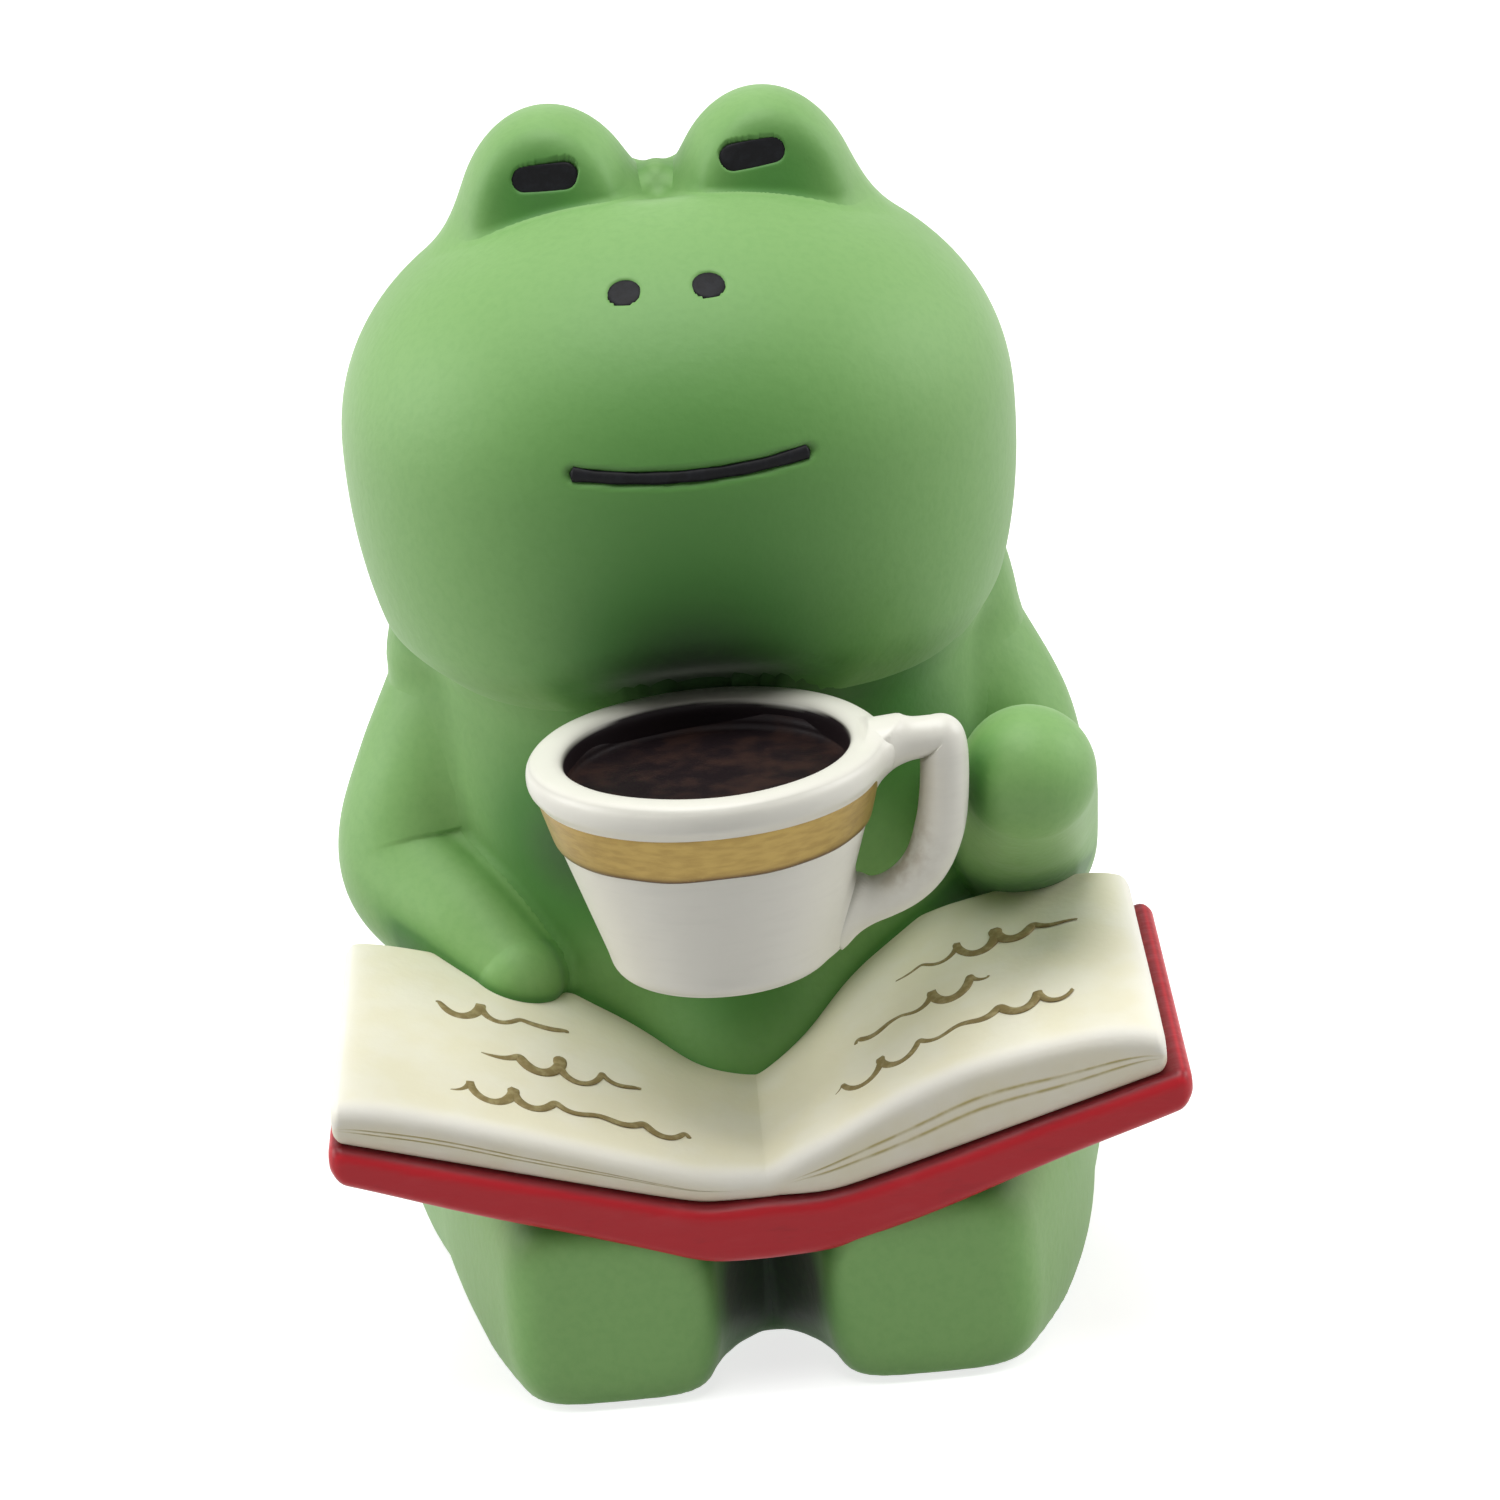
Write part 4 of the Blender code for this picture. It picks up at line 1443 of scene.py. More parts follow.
@dataclass(frozen=True)
class Cup:
    """The cup with its rolled lip, handle, bronze band and coffee.

    Heights are above the base, and drops are below the rim.
    """

    base: Triple = (-0.4, -16.2, 16.9)
    height: float = 8.9
    base_radius: float = 4.4
    rim_radius: float = 6.9
    lip_width: float = 1.5
    lip_height: float = 1.35
    lip_squareness: float = 3.0
    dry_rim: float = 0.12
    foot_round: float = 0.9
    neck_drop: float = 0.25
    eased: int = 4
    unround: float = 0.005
    well_depth: float = 2.6
    well_edge: float = 0.05
    lip_start: float = -65.0
    coffee_drop: float = 1.4
    shore: float = 0.30
    wet: float = 0.35
    # A browner patchy spot on the wall inside the handle's loop.
    brown_spot_offset: Triple = (6.4, -0.5, 4.4)
    brown_spot_radius: float = 1.3
    brown_spot_strength: float = 0.9
    band_height: float = 1.95
    band_drop: float = 1.36
    band_proud: float = 0.09
    band_sunk: float = 0.3
    band_unsteady: Pair = (0.035, 0.05)
    band_edges: Pair = (0.10, 0.06)
    upper_edge_strength: float = 0.4
    handle_standoff: float = 3.0
    handle_top_drop: float = 0.8
    handle_foot_raise: float = 1.3
    handle_corner: float = 0.5
    handle_lift: float = 0.3
    handle_turn: float = 158.0
    handle_draw: float = 0.4
    handle_sweep: Pair = (2.5, 1.3)
    handle_reach: float = 2.4
    handle_radii: tuple[float, ...] = (0.80, 0.80, 0.92, 0.96, 0.86, 0.72)
    handle_blend: float = 1.3
    sides: int = 240
    profile_step: float = 0.12
    hidden_gap: float = 0.03

    def uneven(self, turn: Array, height: Array) -> Array:
        """The cup's slight unroundness, as a factor that grows with height."""
        return 1 + wobble(turn, self.unround) * height / self.height

    def wall(self, height: Array) -> Array:
        """The wall's radius at a height above the base."""
        return self.base_radius + (self.rim_radius - self.base_radius) * height / self.height

    def in_well(self, points: Array) -> Array:
        """One inside the lip's inner edge and nought outside it, for the coffee colour.

        Args:
            points: their last axis is x, y, z.

        Returns:
            A share for each point.
        """
        offset = points - np.array(self.base)
        inner = self.rim_radius - self.lip_width + self.dry_rim
        reach = inner - np.hypot(offset[..., 0], offset[..., 1]) / self.uneven(0, self.height)
        above = offset[..., 2] > self.height - self.lip_height
        return np.clip(reach / self.well_edge, 0, 1) * above

    def cone(self) -> Cone:
        """The cup as one filled cone."""
        return Cone(self.base, self.height, self.base_radius, self.rim_radius)

    def handle_path(self, count: int) -> Array:
        """Points along the middle of the handle, from the lip down to the foot.

        Args:
            count: how many.

        Returns:
            The points, row by row.
        """
        top = self.height - self.handle_top_drop
        foot = self.handle_foot_raise
        out = self.rim_radius + self.handle_standoff - self.handle_radii[2]
        outline = [
            (self.rim_radius - self.lip_width / 2, top),
            (out - self.handle_corner, top + self.handle_lift),
            (out, top + self.handle_lift - self.handle_corner),
            (out - self.handle_draw, (top + foot) / 2),
            (self.wall(foot) + self.handle_sweep[0], foot + self.handle_sweep[1]),
            (self.wall(foot) - self.handle_radii[-1], foot),
        ]
        return through([(x, 0, z) for x, z in outline], count) + np.array(self.base)

    def handle(self) -> Rope:
        """The handle as one smooth tube along its path.

        Returns:
            The tube.
        """
        count = 24
        place = np.linspace(0, len(self.handle_radii) - 1, count)
        radii = np.interp(place, np.arange(len(self.handle_radii)), self.handle_radii)
        return Rope(list(self.handle_path(count)), list(radii))

    def profile(self) -> Array:
        """The outline from the axis below to the axis in the well, in even steps, with its corners eased.

        A flat foot, a quarter circle, the flared wall, a lip whose section is an ellipse with a higher
        power than two, and a straight well.

        Returns:
            Radius and height, row by row.
        """
        turn = np.radians(np.linspace(-90, 0, 12))
        inner = self.base_radius - self.foot_round
        foot = np.stack([inner + self.foot_round * np.cos(turn), self.foot_round * (1 + np.sin(turn))], 1)
        turn = np.radians(np.linspace(self.lip_start, 180, 40))
        half = np.array([self.lip_width, self.lip_height]) / 2
        middle = np.array([self.rim_radius, self.height]) - half
        ways = np.stack([np.cos(turn), np.sin(turn)], 1)
        lip = middle + half * np.sign(ways) * np.abs(ways) ** (2 / self.lip_squareness)
        floor = self.height - self.well_depth
        neck = self.height - self.lip_height - self.neck_drop
        outline = np.concatenate(
            [[(0, 0)], foot, [(self.wall(neck), neck)], lip, [(middle[0] - half[0], floor), (0, floor)]]
        )
        run = np.concatenate([[0], np.cumsum(np.linalg.norm(np.diff(outline, axis=0), axis=1))])
        steps = np.linspace(0, run[-1], int(run[-1] / self.profile_step))
        profile = np.stack([np.interp(steps, run, outline[:, i]) for i in range(2)], 1)
        for _ in range(self.eased):
            profile[1:-1] = (profile[:-2] + 2 * profile[1:-1] + profile[2:]) / 4
        return profile

    def body_surface(self) -> Tube:
        """The turned cup, slightly uneven, lifted along its normals by the fillet to the handle.

        The lift t solves t = fillet(t, distance of the handle) by repeating it.

        Returns:
            The closed surface.
        """
        surface = turned(self.profile(), self.sides)
        rings = surface.rings
        turn = np.arctan2(rings[..., 1], rings[..., 0])
        rings[..., :2] *= self.uneven(turn, rings[..., 2])[..., None]
        around = np.roll(rings, -1, axis=1) - np.roll(rings, 1, axis=1)
        normals = unit(np.cross(around, np.gradient(rings, axis=0)))
        outer = np.hypot(rings[..., 0], rings[..., 1]) > self.wall(rings[..., 2]) - self.lip_width / 2
        rings = rings + np.array(self.base)
        handle = self.handle()
        near = outer & (handle.distance(rings) < self.handle_blend)
        lift = np.zeros(near.sum())
        for _ in range(6):
            gap = handle.distance(rings[near] + normals[near] * lift[:, None])
            lift = fillet(lift, gap, self.handle_blend)
        rings[near] += normals[near] * lift[:, None]
        return Tube(rings, surface.tips + np.array(self.base))

    def handle_surface(self) -> Tube:
        """The handle as rings that turn evenly along its path, pushed out to its fillet with the cup.

        Returns:
            The closed surface.
        """
        path = self.handle_path(150)
        angle = np.radians(np.linspace(0, -self.handle_turn, len(path)))
        tangents = np.stack([np.cos(angle), 0 * angle, np.sin(angle)], -1)
        across = np.array([0.0, 1.0, 0.0])
        up = unit(np.cross(tangents, across))
        turn = full_turn(56)[None, :, None]
        directions = np.cos(turn) * across + np.sin(turn) * up[:, None, :]
        form = Filleted(self.handle(), [(self.cone(), self.handle_blend)])
        return Tube(cast(form, path[:, None, :], directions, self.handle_reach), path[[0, -1]])

    def band_surface(self) -> tuple[Tube, Array]:
        """The band: a thin closed ring that follows the wall, with unsteady edges.

        Returns:
            Its surface, and how near each vertex is to one of the band's edges.
        """
        turn = full_turn(self.sides)[None, :]
        across = np.linspace(0, 1, 24)[:, None]
        top = self.height - self.band_drop + wobble(turn, self.band_unsteady[0])
        foot = self.height - self.band_drop - self.band_height
        foot = foot + wobble(turn, self.band_unsteady[1], (2, 7, 11))
        height = foot + (top - foot) * across
        outer = self.wall(height) + self.band_proud * (1 - np.abs(2 * across - 1) ** 8) - 0.02
        radius = np.concatenate([outer, self.wall(height[::-1]) - self.band_sunk])
        level = np.concatenate([height, height[::-1]])
        radius = radius * self.uneven(turn, level)
        rings = np.stack([radius * np.cos(turn), radius * np.sin(turn), level], -1) + np.array(self.base)
        lower, upper = across / self.band_edges[0], (1 - across) / self.band_edges[1]
        edge = np.exp(-(lower**2)) + self.upper_edge_strength * np.exp(-(upper**2)) + 0 * turn
        return Tube(rings), np.concatenate([edge, edge[::-1]])

    def coffee_surface(self) -> Tube:
        """The coffee: a level disc that wets the wall of the well.

        Returns:
            The closed surface.
        """
        inner = self.rim_radius - self.lip_width
        level = self.height - self.coffee_drop
        turn = np.radians(np.linspace(-90, 0, 10))
        inward, upward = self.shore * (1 - np.cos(turn)), self.shore * (1 + np.sin(turn))
        shore = np.stack([inner - inward, level + upward], 1)
        still = np.stack([np.linspace(0, inner - self.shore * 1.1, 40), np.full(40, level)], 1)
        rim = inner + self.shore
        wet = level + self.wet + self.shore
        floor = self.height - self.well_depth
        hidden = np.array([(inner + self.hidden_gap, wet), (rim, wet), (rim, floor), (0, floor)])
        surface = turned(np.concatenate([still, shore, hidden]), sides=160)
        return Tube(surface.rings + np.array(self.base), surface.tips + np.array(self.base))

    def build(self, forms: Sequence[Form]) -> None:
        """Builds and dresses the cup, its handle, its band and the coffee.

        Args:
            forms: the solids that crease it.
        """
        white = WhitePaint().material()
        # The browner patchy spot inside the handle's loop.
        centre = tuple(np.add(self.base, self.brown_spot_offset))
        brown_patch = Spot(centre, self.brown_spot_radius, self.brown_spot_strength)
        for name, surface, nodes in (
            ("cup_body", self.body_surface(), ("cup",)),
            ("cup_handle", self.handle_surface(), ()),
        ):
            piece = mesh_object(name, surface)
            points = shade_creases(piece, forms)
            set_attribute(piece, "brown_spot", brown_patch.value(points))
            set_attribute(piece, "well", self.in_well(points))
            show(piece, white, Slot.WHITE, *nodes)
        surface, edge = self.band_surface()
        band = mesh_object("bronze_band", surface)
        set_attribute(band, "edge", edge)
        show(band, BronzePaint().material(), Slot.BRONZE, "gold_band")
        coffee = mesh_object("coffee_pool", self.coffee_surface())
        show(coffee, CoffeePaint().material(), Slot.COFFEE, "coffee")


# The book


Outline = tuple[Array, Array, Array]


def section(near: int, top: int, far: int, under: int, bend: int = 8) -> Outline:
    """The outline of a rounded rectangle, which starts at the foot of its near face.

    Args:
        near: points up the near face.
        top: points along the top.
        far: points down the far face.
        under: points back along the underside.
        bend: points round each corner.

    Returns:
        For each point its share of the way across, its share of the way up, and the angle that it
        faces, for which 0 is away from the near face.
    """
    corners = np.array([(0, 0), (0, 1), (1, 1), (1, 0), (0, 0)], dtype=float)
    across, upward, turn = [], [], []
    for side, count in enumerate((near, top, far, under)):
        line = corners[side] + (corners[side + 1] - corners[side]) * np.linspace(0, 1, count)[:, None]
        angle = np.pi * (1 - side / 2)
        across += [line[:, 0], np.full(bend, corners[side + 1, 0])]
        upward += [line[:, 1], np.full(bend, corners[side + 1, 1])]
        turn += [np.full(count, angle), angle - np.linspace(0, np.pi / 2, bend + 2)[1:-1]]
    return np.concatenate(across), np.concatenate(upward), np.concatenate(turn)


def stations(start: float, end: float, radius: float, count: int, bend: int = 8) -> tuple[Array, Array]:
    """Where sections stand, crowded at both ends, and how far each is drawn in to round the ends.

    Args:
        start: the first end.
        end: the last end.
        radius: how far the ends are rounded.
        count: stations between the round ends, and two more.
        bend: stations in each round end.

    Returns:
        The places and the insets.
    """
    turn = np.linspace(0, np.pi / 2, bend)
    nose = radius * (1 - np.sin(turn))
    inset = radius * (1 - np.cos(turn))
    share = (1 - np.cos(np.linspace(0, np.pi, count))) / 2
    body = (start + radius + (end - start - 2 * radius) * share)[1:-1]
    places = np.concatenate([start + nose[::-1], body, end - nose])
    return places, np.concatenate([inset[::-1], 0 * body, inset])


@dataclass(frozen=True)
class Stroke:
    """One line of a page's scribble: a wave whose height swells and fades along it."""

    start: float
    end: float
    y: float
    slope: float
    height: float
    waves: float
    phase: float

    def plan(self, count: int) -> tuple[Array, Array]:
        """Its x and y on the page: y adds height * sin(waves turned), and x leans by half as much.

        Args:
            count: how many points.

        Returns:
            The two coordinates.
        """
        t = np.linspace(0, 1, count)
        turn = 2 * np.pi * self.waves * t + self.phase
        swell = 0.55 + 0.45 * np.sin(2.3 * np.pi * t + 2 * self.phase)
        swell = self.height * swell * np.sin(np.pi * t) ** 0.3
        x = self.start + (self.end - self.start) * t + 0.5 * swell * np.cos(turn)
        return x, self.y + self.slope * t + swell * np.sin(turn)


@dataclass(frozen=True)
class Book(Form):
    """The open book: a red case that rises in a V from a flat spine, and two arched blocks of pages.

    Its own axes are x across, y from the near edge and z up from the underside of the spine. The
    tapers, fore margins, swells and fore-edges are given for the left side and then the right, and
    the arch's powers for the gutter's half and then the other.
    """

    place: Triple = (0.35, -19.5, 5.6)
    tilt: float = 8.0
    half_width: float = 16.55
    depth: float = 14.0
    tapers: Pair = (0.0014, 0.0030)
    rise_angle: float = 20.0
    thickness: float = 1.7
    spine_half: float = 2.4
    spine_thickness: float = 2.6
    spine_soft: float = 0.9
    edge_round: float = 0.6
    margin: float = 0.4
    fore_margins: Pair = (0.9, 0.25)
    gutter_thickness: float = 1.15
    gutter_soft: float = 1.0
    swell: Pair = (2.7, 0.6)
    fore_edge: Pair = (0.3, 1.5)
    arch_powers: Pair = (1.5, 2.5)
    page_round: float = 0.7
    page_sunk: float = 0.1
    ripple: float = 0.05
    case_ripple: float = 0.06
    score_depth: float = 0.04
    score_width: float = 0.04
    score_sway: float = 0.04
    score_ends: Pair = (0.8, 1.5)
    scores: tuple[float, ...] = (0.36, 0.60)
    edge_reach: float = 0.6
    overspray_reach: float = 0.9
    overspray_strength: float = 0.35
    stroke_radius: float = 0.21
    stroke_flatness: float = 0.3

    def under(self, x: Array) -> Array:
        """The underside of the case: flat at the spine, with a soft corner into each rising board."""
        past = np.abs(x) - self.spine_half
        return (past + np.hypot(past, self.spine_soft)) / 2 * math.tan(math.radians(self.rise_angle))

    def inside(self, x: Array) -> Array:
        """The inside of the case, thick at the spine and thin at the edge."""
        share = np.abs(x) / self.half_width
        return self.under(x) + self.spine_thickness + (self.thickness - self.spine_thickness) * share

    def rippled(self, x: Array, y: Array) -> Array:
        """The pages' slight unevenness: a sine of a mix of x and y."""
        return self.ripple * np.sin(0.55 * y + 0.35 * x)

    def page_top(self, x: Array, y: Array) -> Array:
        """The top of the blocks of pages.

        The swell times (1 - |2s - 1|^p)^(1/p), with s the share of the way to the fore-edge and p lower
        on the gutter's half, over a thickness that runs evenly from the gutter to the fore-edge, and a
        slight ripple along y.

        Args:
            x: places across.
            y: places from the near edge.

        Returns:
            The height at each.
        """
        reach = np.hypot(x, self.gutter_soft) - self.gutter_soft
        share = np.clip(reach / (self.half_width - self.margin - self.gutter_soft), 0, 1)
        power = np.where(share < 0.5, *self.arch_powers)
        arch = np.maximum(1 - np.abs(2 * share - 1) ** power, 0) ** (1 / power)
        swell = np.where(x > 0, *self.swell)
        taper = (np.where(x > 0, *self.fore_edge) - self.gutter_thickness) * share
        depth = self.gutter_thickness + taper + swell * arch
        return self.inside(x) + depth + self.rippled(x, y) * arch

    def to_world(self, points: Array) -> Array:
        """Places points of the book's own axes: narrower at the far edge, tilted about x and moved.

        Args:
            points: their last axis is x, y, z.

        Returns:
            The points in the part's frame.
        """
        x = points[..., 0] * (1 - np.where(points[..., 0] > 0, *self.tapers) * points[..., 1])
        tilt = math.radians(self.tilt)
        y = points[..., 1] * math.cos(tilt) - points[..., 2] * math.sin(tilt)
        z = points[..., 1] * math.sin(tilt) + points[..., 2] * math.cos(tilt)
        return np.stack([x, y, z], -1) + np.array(self.place)

    def to_book(self, points: Array) -> Array:
        """The reverse of to_world.

        Args:
            points: their last axis is x, y, z.

        Returns:
            The points in the book's own axes.
        """
        offset = points - np.array(self.place)
        tilt = math.radians(self.tilt)
        y = offset[..., 1] * math.cos(tilt) + offset[..., 2] * math.sin(tilt)
        z = offset[..., 2] * math.cos(tilt) - offset[..., 1] * math.sin(tilt)
        x = offset[..., 0] / (1 - np.where(offset[..., 0] > 0, *self.tapers) * y)
        return np.stack([x, y, z], -1)

    def distance(self, points: Array) -> Array:
        """Rough signed distances to the case and pages together, for the creases near them.

        Args:
            points: their last axis is x, y, z.

        Returns:
            One distance for each point.
        """
        x, y, z = np.moveaxis(self.to_book(points), -1, 0)
        tall = np.maximum(z - self.page_top(x, y), self.under(x) - z)
        tall = tall * math.cos(math.radians(self.rise_angle))
        wide = np.maximum(np.abs(x) - self.half_width, np.maximum(-y, y - self.depth))
        return np.maximum(tall, wide)

    def plank(
        self, x: Array, low: Array, high: Array, inset: Array, margin: float, bend: float, outline: Outline
    ) -> Array:
        """Rings of rounded rectangles across y and z, one for each x.

        Args:
            x: where each ring stands.
            low: its underside.
            high: its top.
            inset: how far it is drawn in on every side.
            margin: how far it stays from the case's near and far edge.
            bend: the radius of its corners.
            outline: the shares and angles from section().

        Returns:
            Points of rows by columns by three in the book's own axes.
        """
        across, upward, turn = outline
        low, high = (low + inset)[:, None], (high - inset)[:, None]
        near, far = margin + inset[:, None], self.depth - margin - inset[:, None]
        bend = np.minimum(bend, (high - low) * 0.48)
        y = near + bend + (far - near - 2 * bend) * across + bend * np.cos(turn)
        z = low + bend + (high - low - 2 * bend) * upward + bend * np.sin(turn)
        return np.stack([np.broadcast_to(x[:, None], y.shape), y, z], -1)

    def closed(self, rings: Array) -> Tube:
        """Rings in the book's own axes as a surface in the part's frame, with a tip in each end."""
        return Tube(self.to_world(rings), self.to_world(rings[[0, -1]].mean(axis=1)))

    def case_surface(self) -> Tube:
        """The red case, both boards and the spine.

        Returns:
            The closed surface.
        """
        x, inset = stations(-self.half_width, self.half_width, self.edge_round, count=260)
        outline = section(near=14, top=90, far=14, under=90)
        rings = self.plank(x, self.under(x), self.inside(x), inset, 0.0, self.edge_round, outline)
        rings[..., 1] += self.case_ripple * np.sin(0.7 * rings[..., 0]) * np.cos(0.3 * rings[..., 1])
        return self.closed(rings)

    def page_surface(self, side: Side) -> tuple[Tube, Array, Array]:
        """A block of pages, with page lines scored along its near face.

        Args:
            side: which block.

        Returns:
            Its surface, how near each vertex is to the upper edge and fore-edge that are painted whiter as
            a highlight, and how deep in a score.
        """
        edge_x = self.half_width - self.fore_margins[0 if side is Side.LEFT else 1]
        x, inset = stations(0.0, edge_x, self.page_round / 2, count=220)
        inset = np.where(x < edge_x / 2, 0, inset)
        x = x * side.value
        across, upward, turn = outline = section(near=70, top=100, far=16, under=30)
        top = self.page_top(x, 0 * x)
        foot = self.inside(x) - self.page_sunk
        rings = self.plank(x, foot, top, inset, self.margin, self.page_round, outline)
        rings[..., 2] += self.rippled(rings[..., 0], rings[..., 1]) * upward
        near = (across == 0) & (turn == np.pi)
        sway = self.score_sway * np.sin(0.9 * x)[:, None]
        score = sum(np.exp(-(((upward - level - sway) / self.score_width) ** 2)) for level in self.scores)
        first, reach = self.score_ends
        fade = np.clip(np.minimum(np.abs(x) - first, edge_x - np.abs(x)) / reach, 0, 1)[:, None]
        score = score * near * fade
        rings[..., 1] += self.score_depth * score
        # Painted highlight: the share by which the rounded upper edge and the fore-edge are painted
        # whiter.
        drop = np.hypot(rings[..., 1] - self.margin, rings[..., 2] - top[:, None])
        fall = edge_x - np.abs(rings[..., 0]) + np.abs(1 - upward) * 2
        upper, fore = (np.exp(-((way / self.edge_reach) ** 2)) for way in (drop, fall))
        edge = np.maximum(upper, 0.8 * fore)
        return self.closed(rings), np.append(edge.ravel(), [0, 0]), np.append(score.ravel(), [0, 0])

    def stroke_surface(self, side: Side, stroke: Stroke) -> Tube:
        """One scribbled line, laid on the page: a flattened thread, thicker where it swells.

        Args:
            side: which page.
            stroke: the line.

        Returns:
            The closed surface.
        """
        x, y = stroke.plan(220)
        x = x * side.value
        step = 0.05
        high = self.page_top(x, y)
        slope_x = (self.page_top(x + step, y) - high) / step
        slope_y = (self.page_top(x, y + step) - high) / step
        base = self.to_world(np.stack([x, y, high], -1))
        up = unit(self.to_world(np.stack([x - slope_x, y - slope_y, high + 1], -1)) - base)
        share = np.linspace(0, 1, len(x))
        taper = np.sin(np.pi * np.clip(share, 0.02, 0.98)) ** 0.35
        radii = self.stroke_radius * taper * (1 + 0.3 * np.sin(9 * share + stroke.phase))
        return piped(base, radii, 10, self.stroke_flatness, up)

    def build(self, forms: Sequence[Form], belly: Form) -> None:
        """Builds and dresses the case, the pages and their scribble.

        Args:
            forms: the solids that crease it.
            belly: the green form whose paint drifted onto the pages.
        """
        case = mesh_object("book_case", self.case_surface())
        shade_creases(case, forms)
        show(case, RedPaint().material(), Slot.RED, "book_cover")
        cream = CreamPaint().material()
        ink = Enamel("ink_wash", "#8a7a52", "#a79a70", 0.6).material()
        for side, strokes in SCRIBBLE.items():
            surface, edge, score = self.page_surface(side)
            pages = mesh_object(f"{side.word}_page_block", surface)
            points = shade_creases(pages, forms)
            set_attribute(pages, "edge", edge)
            set_attribute(pages, "line", score)
            drift = np.clip(belly.distance(points), 0, None) / self.overspray_reach
            set_attribute(pages, "spray", self.overspray_strength * np.exp(-(drift**2)))
            show(pages, cream, Slot.CREAM, f"{side.word}_pages")
            for number, stroke in enumerate(strokes, 1):
                line = mesh_object(f"{side.word}_scribble_{number}", self.stroke_surface(side, stroke))
                show(line, ink, Slot.CREAM)


# The start, end, y, slope, height, waves and phase of each line
SCRIBBLE = {
    Side.LEFT: (
        Stroke(3.0, 12.4, 3.4, 0.6, 0.75, 6, 0.4),
        Stroke(4.0, 9.4, 6.2, 0.4, 0.65, 3.5, 1.3),
        Stroke(5.4, 13.2, 9.0, 0.4, 0.65, 5, 2.1),
    ),
    Side.RIGHT: (
        Stroke(2.8, 12.6, 2.9, 0.4, 0.70, 6, 1.1),
        Stroke(4.6, 11.2, 5.8, 0.3, 0.75, 4, 2.4),
        Stroke(7.4, 13.4, 8.9, 0.2, 0.60, 3.5, 1.7),
    ),
}


# The whole frog


# A piece's name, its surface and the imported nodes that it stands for
Part = tuple[str, Tube, tuple[str, ...]]


